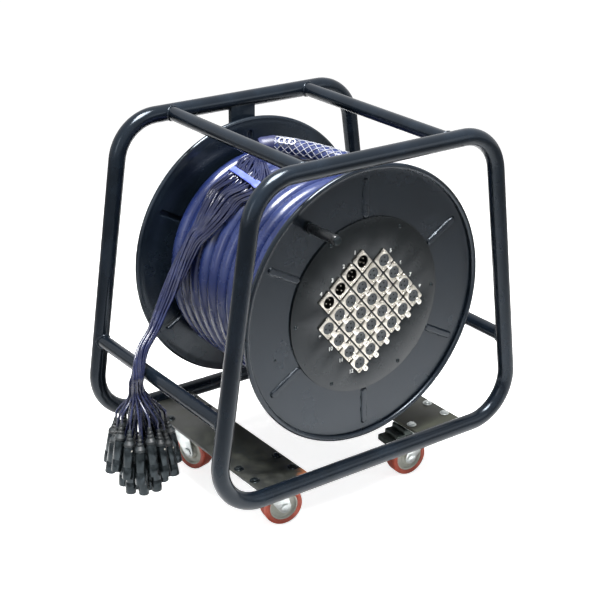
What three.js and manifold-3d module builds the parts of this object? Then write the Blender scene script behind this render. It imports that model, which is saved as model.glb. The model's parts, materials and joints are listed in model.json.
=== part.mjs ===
// A stage box snake: a long multicore cable on a steel drum, with a box of 28 connectors in the drum's
// face, a tube frame on four swivel castors, and a fan of 28 tails with plugs that hangs over a side rail.
// Millimetres. The axle runs along Y, the connectors face -Y, +Z is up and the floor is at z = 0.

import * as THREE from "three";
import { mergeVertices } from "three/addons/utils/BufferGeometryUtils.js";
import Module from "manifold-3d";

// Clearances
const gap = 0.3; // between pieces that touch
const overrun = 2; // how far a cutting shape runs past what it cuts
const weld = 0.001; // corners nearer than this are one corner

// Frame: two bent tube hoops with four straight rails between them
const hoopTubeDiameter = 29;
const hoopTopWidth = 474; // centreline, corner to corner before bending
const hoopBottomWidth = 632.8;
const hoopHeight = 534.5;
const hoopBendRadius = 77;
const railTubeDiameter = 24;
const topRailSpacing = 284;
const sideRailRise = 149.7; // above the hoops' bottom centreline

// Castor plates: flat bars across the bottom of the frame
const plateSpacing = 336;
const plateWidth = 98;
const plateThickness = 5;
const boltSpacingX = 77;
const boltSpacingY = 46.5;
const boltHeadRadius = 6;
const boltHeadHeight = 4;

// Castors: a pressed fork on a kingpin, with the wheel trailing behind it
const castorHeight = 104.2;
const castorFrontInset = 72; // the kingpins, from the hoops' centrelines
const castorRearInset = 59;
const castorTopLength = 92;
const castorTopWidth = 64;
const castorTopThickness = 3.5;
const raceRadius = 22;
const raceHeight = 8;
const kingpinRadius = 6;
const kingpinHeadRadius = 9;
const kingpinHeadHeight = 3;
const forkCrownThickness = 4;
const forkCrownFront = 20; // ahead of the kingpin
const forkCrownBack = 24;
const forkLegThickness = 2.5;
const forkLegSpacing = 30; // between the inner faces
const forkEyeRadius = 11;
const forkFrontDrop = 10; // the leg's straight front edge, below the crown
const wheelTrail = 28;
const wheelRadius = 35;
const tyreThickness = 9;
const tyreWidth = 27;
const tyreShoulder = 3;
const rimWidth = 24;
const webWidth = 17;
const hubNeckRadius = 14;
const wheelBoltRadius = 5;
const wheelBoltHeadRadius = 8;
const wheelBoltHeadHeight = 3;

// Brake pedal: three treads that step down behind the fork, hinged under its crown
const pedalPinRadius = 3;
const pedalPinX = 16; // behind the kingpin
const pedalPinDrop = 8; // below the crown
const pedalNeckWidth = 26;
const pedalNeckThickness = 7;
const pedalShoeDepth = 4;
const pedalShoeLength = 12;
const pedalRiserThickness = 6;
const pedalTreadWidth = 40;
const pedalTreadLength = 15;
const pedalTreadDrop = 8;
const pedalTreadThickness = 4;
const pedalTreadRise = 17; // the first tread's top, above the pin
const pedalTreads = 3;

// Axle: a flat bar in the rear hoop carries a stub shaft that reaches into the drum
const postWidth = 50;
const postThickness = 10;
const postInset = 8; // the bar's middle, in front of the rear hoop's centreline
const footRadius = 45;
const footThickness = 8;
const shaftRadius = 15;
const threadRadius = 10;
const threadLength = 17;
const nutAcrossCorners = 36;
const nutThickness = 10;
const bearingOuterRadius = 31;
const bearingWidth = 16;
const bearingSpacing = 80;

// Drum: two pressed discs with a rolled edge, on a barrel with a webbed hub
const axleRise = 272; // above the hoops' bottom centreline
const drumShift = -4.5; // the drum's middle, from the middle of the frame
const drumWidth = 321; // between the discs
const hoopRoom = 75; // the hoops' centrelines stand this much further apart than the discs
const hoopSpacing = drumWidth + hoopRoom;
const discRadius = 240;
const discThickness = 2;
const discMouthRadius = 113; // hole in the front disc, behind the stage box
const beadWidth = 9;
const beadDepth = 10.4; // from the disc's inner face to the front of the rolled edge
const ribInnerRadius = 152;
const ribOuterRadius = 218.8;
const ribWidth = 12;
const ribHeight = 3.5;
const ribCount = 6;
const firstRibAngle = 31.25;
const barrelRadius = 116;
const barrelThickness = 2;
const hubWall = 3.7;
const hubLength = 110;
const hubProud = 3.7; // behind the rear disc
const webOffset = 6; // from the hub's front end
const webThickness = 4;

// Winding peg: a spinning grip on a spindle
const pegRadiusOnDrum = 198;
const pegAngle = 126;
const pegLength = 77;
const pegRodRadius = 5;
const pegCollarRadius = 9;
const pegCollarHeight = 5;
const pegCapHeight = 4;
const gripRadius = 11;
const gripTaper = 2;

// Stage box: a round panel with 28 three-pole connectors in six rows
const panelRadius = 151;
const panelThickness = 3;
const gridTurn = -50; // a row's direction, degrees from +X
const placePitch = 34.3;
const rowPitch = 29;
const rowPlaces = [[1, 4], [0, 4], [0, 4], [0, 4], [0, 4], [1, 4]]; // first and last place in each row
const middlePlace = (rowPlaces[1][0] + rowPlaces[1][1]) / 2; // the place on the panel's middle line
const middleRow = (rowPlaces.length - 1) / 2;
const flangeLength = 31;
const flangeWidth = 26;
const flangeThickness = 2.2;
const shellRadius = 12;
const shellDepth = 17; // behind the panel's back
const shellClearance = 0.6;
const socketRadius = 9.5;
const femaleSocketDepth = 1;
const maleSocketDepth = 12;
const pinCircleRadius = 4.9;
const pinRadius = 1.1;
const pinLength = 10;
const strapWidth = 3; // the bar that joins a row behind the panel
const strapThickness = 3;
const strapOffset = 5.5;

// Latches: a push tab on each female connector, joined row by row behind the panel
const latchTravel = 1.5;
const tabLength = 14;
const tabWidth = 9.4;
const tabThickness = 3;
const tabOverhang = 5; // past the connector's flange
const stemOffset = 8.7; // from the connector's middle
const stemLength = 2.6;
const stemWidth = 2.8;
const stemClearance = 0.5;
const linkThickness = 2;
const linkDepth = 22; // its back, behind the panel

// Cable: the outer layer of turns over the layers below it
const cableDiameter = 28;
const turnPitch = 28.5;
const turnRadius = 176;
const looseRadius = 207.5; // the cable's end lies on top of the outer layer
const firstTurnInset = 20.3; // the first turn's centreline, from the front disc
const lastTurnInset = 15; // at least, from the rear disc
const turns = Math.floor((drumWidth - firstTurnInset - lastTurnInset) / turnPitch);
const stepsPerTurn = 20;
const rampSteps = 3; // from the outer layer up to the loose end
const rampEndAngle = 18;
const partingRadius = turnRadius + cableDiameter / 2; // the drum turns inside it, clear of the loose end
const leadAngle = -60; // the inner end goes through the barrel here
const leadHoleY = -85;
const leadDrop = 72; // radius at which the inner end turns to the stage box
const leadEndInset = 45; // from the front disc

// Mesh pulling grip round the cable's loose end, and a strap round the spread tails
const gripSleeveGap = 0.4;
const gripSleeveWall = 2;
const gripSleeveShare = [0.42, 0.93]; // where it starts and ends, as shares of the loose end's steps
const strapWall = 1.2;
const strapClearance = 0.5;

// Plugs: rings of plugs that hang from the tails, each ring shorter and more tilted than the last
const plugLength = 84;
const plugRadius = 9;
const bootLength = 24;
const bootTopRadius = 3.6;
const tailDiameter = 3.6;
const plugCentreX = -318;
const plugCentreY = 22;
const neckHeight = 214.7; // where the bundle of tails opens out
const neckRadius = 12;
const neckLength = 12;
const plugSpread = 43; // the outer ring's radius, at the plugs' tops
const plugHang = 84.7; // from the neck down to the inner plugs' tops
const plugStagger = 24; // how far apart the outer plugs' tops lie in height
const plugRingShares = [ // radius, drop and stagger are shares of the three sizes above
  { count: 3, tilt: 1, phase: 0, radius: 0.256, drop: 1, stagger: 0.167 },
  { count: 9, tilt: 4, phase: 0, radius: 0.674, drop: 0.835, stagger: 0.417 },
  { count: 16, tilt: 14, phase: 11, radius: 1, drop: 0.386, stagger: 1 },
];
const staggerStepShare = 0.618; // each plug's height moves on by this share of the stagger

// Sides of round pieces
const tubeSides = 12;
const bendSteps = 6;
const discSides = 40;
const barrelSides = 20;
const partingSides = 120;
const wheelSides = 16;
const shaftSides = 16;
const pinSides = 12;
const smallSides = 8;
const shellSides = 6;
const boltSides = 6;

// Places that follow from the sizes above
const degrees = Math.PI / 180;
const quarterTurn = Math.PI / 2;
const castorFrontY = -hoopSpacing / 2 + castorFrontInset;
const castorRearY = hoopSpacing / 2 - castorRearInset;
const tubeRadius = hoopTubeDiameter / 2;
const railRadius = railTubeDiameter / 2;
const hoopBottomZ = castorHeight + gap + plateThickness / 2;
const hoopTopZ = hoopBottomZ + hoopHeight;
const axleZ = hoopBottomZ + axleRise;
const frontDiscY = drumShift - drumWidth / 2; // inner faces of the two discs
const rearDiscY = drumShift + drumWidth / 2;
const panelBackY = frontDiscY - discThickness - gap;
const cableRadius = cableDiameter / 2;
const pegReach = frontDiscY - discThickness - gap - pegLength;
const rearReach = hoopSpacing / 2 + tubeRadius;
const middleY = (pegReach + rearReach) / 2; // the frame's own middle is not the whole object's

const wasm = await Module();
wasm.setup();

// A run of tube or cable through its points. Each pair of points is one step, so a straight takes one step
// and a bend takes several. Where outward is given, one side of the section keeps facing that way.
class Run extends THREE.Curve {
  constructor(points, { closed = false, outward = null } = {}) {
    super();
    this.points = points;
    this.closed = closed;
    this.outward = outward;
    this.steps = closed ? points.length : points.length - 1;
  }

  pointAt(i) {
    const count = this.points.length;
    return this.points[this.closed ? (i + count) % count : THREE.MathUtils.clamp(i, 0, count - 1)];
  }

  getUtoTmapping(u) {
    return u;
  }

  getPoint(t, target = new THREE.Vector3()) {
    const place = t * this.steps;
    const before = Math.min(Math.floor(place), this.steps - 1);
    return target.lerpVectors(this.pointAt(before), this.pointAt(before + 1), place - before);
  }

  getTangent(t, target = new THREE.Vector3()) {
    const i = Math.round(t * this.steps);
    const arrive = this.pointAt(i).clone().sub(this.pointAt(i - 1)).normalize();
    const leave = this.pointAt(i + 1).clone().sub(this.pointAt(i)).normalize();
    return target.copy(arrive).add(leave).normalize();
  }

  computeFrenetFrames(steps, closed) {
    const frames = super.computeFrenetFrames(steps, closed);
    if (this.outward) {
      frames.tangents.forEach((along, i) => {
        const normal = this.outward(this.pointAt(i));
        normal.addScaledVector(along, -normal.dot(along)).normalize();
        frames.normals[i].copy(normal);
        frames.binormals[i].crossVectors(along, normal);
      });
    }
    return frames;
  }
}

// A geometry as one closed body: corners merged, flat triangles dropped, faces turned outwards
function closedBody(geometry) {
  const bare = new THREE.BufferGeometry();
  bare.setAttribute("position", geometry.getAttribute("position"));
  bare.setIndex(geometry.getIndex());
  const merged = mergeVertices(bare, weld);
  const places = merged.getAttribute("position");
  const corners = merged.getIndex().array;
  const kept = [];
  const [a, b, c] = [new THREE.Vector3(), new THREE.Vector3(), new THREE.Vector3()];
  let volume = 0;
  for (let i = 0; i < corners.length; i += 3) {
    const [p, q, r] = [corners[i], corners[i + 1], corners[i + 2]];
    if (p === q || q === r || r === p) continue;
    kept.push([p, q, r]);
    a.fromBufferAttribute(places, p);
    b.fromBufferAttribute(places, q);
    c.fromBufferAttribute(places, r);
    volume += a.dot(b.cross(c));
  }
  const facing = volume < 0 ? kept.map(([p, q, r]) => [p, r, q]) : kept;
  const body = new THREE.BufferGeometry();
  body.setAttribute("position", new THREE.BufferAttribute(new Float32Array(places.array), 3));
  body.setIndex(facing.flat());
  return body;
}

function toSolid(geometry) {
  const body = closedBody(geometry);
  return new wasm.Manifold(new wasm.Mesh({
    numProp: 3,
    vertProperties: new Float32Array(body.getAttribute("position").array),
    triVerts: new Uint32Array(body.getIndex().array),
  }));
}

function fromSolid(solid) {
  const mesh = solid.getMesh();
  const geometry = new THREE.BufferGeometry();
  geometry.setAttribute("position", new THREE.BufferAttribute(new Float32Array(mesh.vertProperties), 3));
  geometry.setIndex(Array.from(mesh.triVerts));
  return geometry;
}

function join(...geometries) {
  return fromSolid(geometries.map(toSolid).reduce((sum, solid) => sum.add(solid)));
}

function cut(geometry, ...tools) {
  return fromSolid(tools.map(toSolid).reduce((left, tool) => left.subtract(tool), toSolid(geometry)));
}

function common(geometry, other) {
  return fromSolid(toSolid(geometry).intersect(toSolid(other)));
}

function ring(radius, sides, turn = 0, x = 0, y = 0) {
  const at = (k) => turn + (2 * Math.PI * k) / sides;
  return Array.from({ length: sides }, (unused, k) =>
    new THREE.Vector2(x + radius * Math.cos(at(k)), y + radius * Math.sin(at(k))));
}

// A tube of a regular section along a run
function tube(run, radius, sides, turn = 0) {
  const section = new THREE.Shape(ring(radius, sides, turn));
  return closedBody(new THREE.ExtrudeGeometry(section, { steps: run.steps, extrudePath: run }));
}

// A profile of [radius, height] turned about Y, closed on itself unless it starts and ends on the axis
function turned(profile, sides) {
  const [first] = profile;
  const outline = first[0] === 0 ? profile : [...profile, first];
  return closedBody(new THREE.LatheGeometry(outline.map(([r, h]) => new THREE.Vector2(r, h)), sides));
}

// An outline in XY, made solid from z = 0 up to its depth
function prism(outline, depth, holes = []) {
  const shape = new THREE.Shape(outline);
  shape.holes = holes.map((hole) => new THREE.Path(hole));
  return closedBody(new THREE.ExtrudeGeometry(shape, { depth, bevelEnabled: false }));
}

function block([x0, y0, z0], [x1, y1, z1]) {
  const box = new THREE.BoxGeometry(x1 - x0, y1 - y0, z1 - z0);
  return box.translate((x0 + x1) / 2, (y0 + y1) / 2, (z0 + z1) / 2);
}

function piece(parent, name, geometry, material) {
  const mesh = new THREE.Mesh(closedBody(geometry), material);
  mesh.name = name;
  parent.add(mesh);
}

function finish(color, roughness, metalness) {
  return new THREE.MeshStandardMaterial({ color, roughness, metalness });
}

const framePaint = finish(0x23282e, 0.25, 0.3);
const platePaint = finish(0x3b3f39, 0.55, 0.3);
const zinc = finish(0xc9ccc8, 0.35, 0.9);
const darkSteel = finish(0x2f3437, 0.45, 0.6);
const hubPlastic = finish(0xb9bcb6, 0.5, 0);
const tyreRubber = finish(0xb5513f, 0.5, 0);
const groundSteel = finish(0x9a9da0, 0.3, 1);
const discPaint = finish(0x2c3238, 0.4, 0.3);
const panelPaint = finish(0x1c2022, 0.6, 0.2);
const pegBlack = finish(0x17191b, 0.4, 0);
const nickel = finish(0xd8d6d0, 0.25, 1);
const latchMetal = finish(0xf0efe9, 0.3, 0.6);
const cableJacket = finish(0x3b4590, 0.4, 0);
const tailJacket = finish(0x2b3470, 0.45, 0);
const strapBlue = finish(0x5b6ec0, 0.7, 0);
const gripMesh = finish(0xa9abc4, 0.6, 0.2);
const plugBlack = finish(0x1b1c1e, 0.4, 0.2);

const reel = new THREE.Group();
reel.position.y = -middleY;

// Hoops

// A loop of straights and round bends through the four corners
function hoopPoints(y) {
  const corners = [
    [hoopBottomWidth / 2, hoopBottomZ],
    [hoopTopWidth / 2, hoopTopZ],
    [-hoopTopWidth / 2, hoopTopZ],
    [-hoopBottomWidth / 2, hoopBottomZ],
  ].map(([x, z]) => new THREE.Vector3(x, y, z));
  const count = corners.length;
  return corners.flatMap((corner, i) => {
    const arrive = corner.clone().sub(corners[(i + count - 1) % count]).normalize();
    const leave = corners[(i + 1) % count].clone().sub(corner).normalize();
    const turn = arrive.angleTo(leave);
    const start = corner.clone().addScaledVector(arrive, -hoopBendRadius * Math.tan(turn / 2));
    const inward = leave.clone().addScaledVector(arrive, -leave.dot(arrive)).normalize();
    const centre = start.clone().addScaledVector(inward, hoopBendRadius);
    return Array.from({ length: bendSteps + 1 }, (unused, k) => {
      const swing = (turn * k) / bendSteps;
      const point = centre.clone().addScaledVector(inward, -hoopBendRadius * Math.cos(swing));
      return point.addScaledVector(arrive, hoopBendRadius * Math.sin(swing));
    });
  });
}

function hoopTube(y, radius) {
  const run = new Run(hoopPoints(y), { closed: true });
  return closedBody(new THREE.TubeGeometry(run, run.steps, radius, tubeSides, true));
}

const frontHoopY = -hoopSpacing / 2;
const rearHoopY = hoopSpacing / 2;
piece(reel, "front_hoop", hoopTube(frontHoopY, tubeRadius), framePaint);
piece(reel, "rear_hoop", hoopTube(rearHoopY, tubeRadius), framePaint);
const hoopCutters = [frontHoopY, rearHoopY].map((y) => hoopTube(y, tubeRadius + gap));

// Rails: their ends are coped to fit round the hoops
function rail(x, z) {
  const ends = [frontHoopY, rearHoopY].map((y) => new THREE.Vector3(x, y, z));
  return cut(tube(new Run(ends), railRadius, tubeSides), ...hoopCutters);
}

const legLean = (hoopBottomWidth - hoopTopWidth) / 2 / hoopHeight;
const sideRailX = hoopBottomWidth / 2 - sideRailRise * legLean;
piece(reel, "top_rail_left", rail(-topRailSpacing / 2, hoopTopZ), framePaint);
piece(reel, "top_rail_right", rail(topRailSpacing / 2, hoopTopZ), framePaint);
piece(reel, "side_rail_left", rail(-sideRailX, hoopBottomZ + sideRailRise), framePaint);
piece(reel, "side_rail_right", rail(sideRailX, hoopBottomZ + sideRailRise), framePaint);

// Castor plates: welded between the hoops' bottom tubes, with the castor bolts' heads on top
const plateTop = hoopBottomZ + plateThickness / 2;
const castorYs = [castorFrontY, castorRearY];

function castorPlate(x) {
  const bar = block(
    [x - plateWidth / 2, frontHoopY, plateTop - plateThickness],
    [x + plateWidth / 2, rearHoopY, plateTop],
  );
  const bolts = castorYs.flatMap((y) => [-1, 1].flatMap((right) => [-1, 1].map((back) => {
    const head = new THREE.CylinderGeometry(boltHeadRadius, boltHeadRadius, boltHeadHeight * 2, boltSides);
    head.rotateX(quarterTurn);
    return head.translate(x + (right * boltSpacingX) / 2, y + (back * boltSpacingY) / 2, plateTop);
  })));
  const heads = bolts.map((bolt) => cut(bolt, block(
    [x - plateWidth, frontHoopY, plateTop - plateThickness * 2],
    [x + plateWidth, rearHoopY, plateTop - plateThickness / 2],
  )));
  return cut(join(bar, ...heads), ...hoopCutters);
}

piece(reel, "castor_plate_left", castorPlate(-plateSpacing / 2), platePaint);
piece(reel, "castor_plate_right", castorPlate(plateSpacing / 2), platePaint);

// Castors: each is drawn with its wheel trailing along +X, then turned to where it points
const forkCrownTop = castorHeight - castorTopThickness - raceHeight - gap;
const forkCrownBottom = forkCrownTop - forkCrownThickness;
const forkInner = forkLegSpacing / 2;
const forkOuter = forkInner + forkLegThickness;
const pedalPinZ = forkCrownBottom - pedalPinDrop;

function upright(geometry) {
  return geometry.rotateX(quarterTurn);
}

function castorTop() {
  const raceTop = castorHeight - castorTopThickness;
  const raceBottom = raceTop - raceHeight;
  const headTop = forkCrownBottom - gap;
  const stem = upright(turned([
    [0, castorHeight - castorTopThickness / 2],
    [raceRadius, castorHeight - castorTopThickness / 2],
    [raceRadius, raceBottom],
    [kingpinRadius, raceBottom],
    [kingpinRadius, headTop],
    [kingpinHeadRadius, headTop],
    [kingpinHeadRadius, headTop - kingpinHeadHeight],
    [0, headTop - kingpinHeadHeight],
  ], pinSides));
  return join(stem, block(
    [-castorTopLength / 2, -castorTopWidth / 2, raceTop],
    [castorTopLength / 2, castorTopWidth / 2, castorHeight],
  ));
}

function forkLeg(innerFace) {
  const eye = ring(forkEyeRadius, smallSides * 2, Math.PI, wheelTrail, wheelRadius);
  const lower = eye.filter((point) => point.y < wheelRadius + weld);
  const outline = [
    new THREE.Vector2(forkCrownBack, forkCrownTop),
    new THREE.Vector2(-forkCrownFront, forkCrownTop),
    new THREE.Vector2(-forkCrownFront, forkCrownTop - forkFrontDrop),
    ...lower,
  ];
  return upright(prism(outline, forkLegThickness)).translate(0, innerFace + forkLegThickness, 0);
}

function crossPin(x, z, radius, halfLength, sides) {
  return new THREE.CylinderGeometry(radius, radius, halfLength * 2, sides).translate(x, 0, z);
}

function fork(hasPedal) {
  const crown = block(
    [-forkCrownFront, -forkOuter, forkCrownBottom],
    [forkCrownBack, forkOuter, forkCrownTop],
  );
  const kingpinHole = upright(new THREE.CylinderGeometry(
    kingpinRadius + gap, kingpinRadius + gap, forkCrownThickness + overrun, pinSides,
  )).translate(0, 0, (forkCrownTop + forkCrownBottom) / 2);
  const holes = [
    kingpinHole,
    crossPin(wheelTrail, wheelRadius, wheelBoltRadius + gap, forkOuter + overrun, smallSides),
  ];
  if (hasPedal) {
    holes.push(crossPin(pedalPinX, pedalPinZ, pedalPinRadius + gap, forkOuter + overrun, smallSides));
  }
  return cut(join(crown, forkLeg(forkInner), forkLeg(-forkOuter)), ...holes);
}

function wheelCentre() {
  const tyreInner = wheelRadius - tyreThickness;
  const half = [
    [wheelBoltRadius + gap, forkInner - gap],
    [hubNeckRadius, webWidth / 2],
    [tyreInner - gap, rimWidth / 2],
  ];
  const back = half.map(([r, h]) => [r, -h]).reverse();
  return turned([...half, ...back], wheelSides).translate(wheelTrail, 0, wheelRadius);
}

function tyre() {
  const half = [
    [wheelRadius - tyreThickness, rimWidth / 2],
    [wheelRadius - tyreShoulder, tyreWidth / 2],
    [wheelRadius, tyreWidth / 2 - tyreShoulder],
  ];
  const back = half.map(([r, h]) => [r, -h]).reverse();
  return turned([...half, ...back], wheelSides).translate(wheelTrail, 0, wheelRadius);
}

function wheelBolt() {
  const head = forkOuter + gap;
  const end = head + wheelBoltHeadHeight;
  return turned([
    [0, -end],
    [wheelBoltHeadRadius, -end],
    [wheelBoltHeadRadius, -head],
    [wheelBoltRadius, -head],
    [wheelBoltRadius, head],
    [wheelBoltHeadRadius, head],
    [wheelBoltHeadRadius, end],
    [0, end],
  ], smallSides).translate(wheelTrail, 0, wheelRadius);
}

function brakePedal() {
  const neckHalf = pedalNeckWidth / 2;
  const neckBottom = pedalPinZ - pedalPinRadius;
  const neckTop = neckBottom + pedalNeckThickness;
  const riserX = forkCrownBack + overrun;
  const treadX = riserX + pedalRiserThickness;
  const treadTop = pedalPinZ + pedalTreadRise;
  const pin = crossPin(pedalPinX, pedalPinZ, pedalPinRadius, forkOuter, smallSides);
  const neck = block([pedalPinX - pedalPinRadius, -neckHalf, neckBottom], [treadX, neckHalf, neckTop]);
  const shoe = block(
    [treadX + pedalRiserThickness - pedalShoeLength * 1.5, -neckHalf, neckBottom - pedalShoeDepth],
    [treadX, neckHalf, neckTop],
  );
  const riser = block([riserX, -neckHalf, neckBottom], [treadX, neckHalf, treadTop]);
  const treads = Array.from({ length: pedalTreads }, (unused, k) => {
    const top = treadTop - k * pedalTreadDrop;
    const start = treadX + k * pedalTreadLength;
    return block(
      [start - pedalTreadThickness, -pedalTreadWidth / 2, top - pedalTreadDrop - pedalTreadThickness],
      [start + pedalTreadLength, pedalTreadWidth / 2, top],
    );
  });
  return join(pin, neck, shoe, riser, ...treads);
}

const castors = [
  { name: "front_left", x: -plateSpacing / 2, y: castorFrontY, direction: -10 },
  { name: "front_right", x: plateSpacing / 2, y: castorFrontY, direction: 176, pedal: true },
  { name: "rear_left", x: -plateSpacing / 2, y: castorRearY, direction: -75 },
  { name: "rear_right", x: plateSpacing / 2, y: castorRearY, direction: 200 },
];

castors.forEach(({ name, x, y, direction, pedal = false }) => {
  const seat = new THREE.Group();
  seat.position.set(x, y, 0);
  const swivel = new THREE.Group();
  swivel.rotation.z = direction * degrees;
  seat.add(swivel);
  reel.add(seat);
  piece(seat, `castor_top_${name}`, castorTop(), zinc);
  piece(swivel, `fork_${name}`, fork(pedal), zinc);
  piece(swivel, `wheel_bolt_${name}`, wheelBolt(), zinc);
  piece(swivel, `wheel_centre_${name}`, wheelCentre(), hubPlastic);
  piece(swivel, `tyre_${name}`, tyre(), tyreRubber);
  if (pedal) piece(swivel, "brake_pedal", brakePedal(), darkSteel);
});

// Axle post and stub axle: fixed to the frame
const postMiddleY = rearHoopY - postInset;
const post = block(
  [-postWidth / 2, postMiddleY - postThickness / 2, hoopBottomZ],
  [postWidth / 2, postMiddleY + postThickness / 2, hoopTopZ],
);
piece(reel, "axle_post", cut(post, ...hoopCutters), framePaint);

const footBack = postMiddleY - postThickness / 2 - gap;
const footFront = footBack - footThickness;
const hubFront = rearDiscY + discThickness + hubProud - hubLength;
const shoulder = hubFront + overrun;
const axle = new THREE.Group();
axle.position.z = axleZ;
reel.add(axle);
piece(axle, "stub_axle", turned([
  [0, footBack],
  [footRadius, footBack],
  [footRadius, footFront],
  [shaftRadius, footFront],
  [shaftRadius, shoulder],
  [threadRadius, shoulder],
  [threadRadius, shoulder - threadLength],
  [0, shoulder - threadLength],
], shaftSides), groundSteel);

const nutBore = ring(threadRadius + gap, shaftSides);
const nut = prism(ring(nutAcrossCorners / 2, boltSides), nutThickness, [nutBore]);
piece(axle, "axle_nut", upright(nut).translate(0, shoulder - gap, 0), zinc);

// Drum: what turns on the axle
const drum = new THREE.Group();
drum.position.z = axleZ;
reel.add(drum);
const frontBearingY = shoulder + bearingWidth / 2 + gap;

function bearing(y) {
  const half = bearingWidth / 2;
  return turned([
    [shaftRadius + gap, y - half],
    [bearingOuterRadius, y - half],
    [bearingOuterRadius, y + half],
    [shaftRadius + gap, y + half],
  ], shaftSides);
}

piece(drum, "front_bearing", bearing(frontBearingY), groundSteel);
piece(drum, "rear_bearing", bearing(frontBearingY + bearingSpacing), groundSteel);

const hubInner = bearingOuterRadius + gap;
const hubOuter = hubInner + hubWall;
const webFront = hubFront + webOffset;
const webReach = (barrelRadius - barrelThickness) * Math.cos(Math.PI / barrelSides) - gap;
piece(drum, "drum_hub", turned([
  [hubInner, hubFront],
  [hubOuter, hubFront],
  [hubOuter, webFront],
  [webReach, webFront],
  [webReach, webFront + webThickness],
  [hubOuter, webFront + webThickness],
  [hubOuter, hubFront + hubLength],
  [hubInner, hubFront + hubLength],
], shaftSides), darkSteel);

const leadHole = new THREE.CylinderGeometry(
  cableRadius + gap * 2, cableRadius + gap * 2, barrelRadius, smallSides,
);
leadHole.rotateZ((leadAngle - 90) * degrees);
leadHole.translate(
  barrelRadius * Math.cos(leadAngle * degrees), leadHoleY, barrelRadius * Math.sin(leadAngle * degrees),
);
const barrel = turned([
  [barrelRadius - barrelThickness, frontDiscY + gap],
  [barrelRadius, frontDiscY + gap],
  [barrelRadius, rearDiscY - gap],
  [barrelRadius - barrelThickness, rearDiscY - gap],
], barrelSides);
piece(drum, "drum_barrel", cut(barrel, leadHole), darkSteel);

// Discs: side is -1 for the front one and 1 for the rear one
function disc(innerY, side, boreRadius) {
  const face = innerY + side * discThickness;
  const edge = innerY + side * beadDepth;
  const beadInner = discRadius - beadWidth;
  const shape = turned([
    [boreRadius, innerY],
    [beadInner, innerY],
    [discRadius, innerY + (edge - innerY) / 3],
    [discRadius, edge - (edge - face) / 4],
    [discRadius - beadWidth / 2, edge],
    [beadInner, face],
    [boreRadius, face],
  ], discSides);
  const halfWidth = ribWidth / 2;
  const ribs = Array.from({ length: ribCount }, (unused, k) => {
    const rib = prism([
      new THREE.Vector2(ribInnerRadius, 0),
      new THREE.Vector2(ribInnerRadius + halfWidth, -halfWidth),
      new THREE.Vector2(ribOuterRadius - halfWidth, -halfWidth),
      new THREE.Vector2(ribOuterRadius, 0),
      new THREE.Vector2(ribOuterRadius - halfWidth, halfWidth),
      new THREE.Vector2(ribInnerRadius + halfWidth, halfWidth),
    ], ribHeight + discThickness / 2);
    rib.rotateZ((firstRibAngle + (360 * k) / ribCount) * degrees);
    rib.rotateX(-side * quarterTurn);
    return rib.translate(0, innerY + (side * discThickness) / 2, 0);
  });
  return join(shape, ...ribs);
}

piece(drum, "front_disc", disc(frontDiscY, -1, discMouthRadius), discPaint);
piece(drum, "rear_disc", disc(rearDiscY, 1, hubOuter + gap), discPaint);

// Winding peg
const pegX = pegRadiusOnDrum * Math.cos(pegAngle * degrees);
const pegZ = pegRadiusOnDrum * Math.sin(pegAngle * degrees);
const pegBase = frontDiscY - discThickness - gap;
const pegTip = pegBase - pegLength;
piece(drum, "peg_spindle", turned([
  [0, pegBase],
  [pegCollarRadius, pegBase],
  [pegCollarRadius, pegBase - pegCollarHeight],
  [pegRodRadius, pegBase - pegCollarHeight],
  [pegRodRadius, pegTip + pegCapHeight],
  [pegCollarRadius, pegTip + pegCapHeight],
  [pegCollarRadius, pegTip],
  [0, pegTip],
], tubeSides).translate(pegX, 0, pegZ), zinc);

const gripBack = pegBase - pegCollarHeight - gap;
const gripFront = pegTip + pegCapHeight + gap;
piece(drum, "peg_grip", turned([
  [pegRodRadius + gap, gripBack],
  [gripRadius - gripTaper, gripBack],
  [gripRadius, (gripBack + gripFront) / 2],
  [gripRadius - gripTaper, gripFront],
  [pegRodRadius + gap, gripFront],
], tubeSides).translate(pegX, 0, pegZ), pegBlack);

// Stage box: drawn flat, with z = 0 on the panel's back and +z outwards, then stood up on the drum
const stageBox = new THREE.Group();
stageBox.position.y = panelBackY;
stageBox.rotation.x = quarterTurn;
drum.add(stageBox);
const grid = new THREE.Group();
grid.rotation.z = gridTurn * degrees;
stageBox.add(grid);

// A connector's middle, along and across its row, and whether it has pins
function places(row) {
  const [first, last] = rowPlaces[row];
  return Array.from({ length: last - first + 1 }, (unused, k) => ({
    along: (first + k - middlePlace) * placePitch,
    across: (middleRow - row) * rowPitch,
    male: first + k === 0,
  }));
}

const rows = rowPlaces.map((unused, row) => places(row));
const shellHoleRadius = shellRadius + shellClearance;
const shellHoles = rows.flat().map(({ along, across }) =>
  ring(shellHoleRadius, shellSides, 0, along, across));
piece(grid, "stage_panel", prism(ring(panelRadius, discSides), panelThickness, shellHoles), panelPaint);

const flangeBack = panelThickness + gap;
const flangeFront = flangeBack + flangeThickness;

function boxAround(x, y, length, width, low, high) {
  return block([x - length / 2, y - width / 2, low], [x + length / 2, y + width / 2, high]);
}

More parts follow.
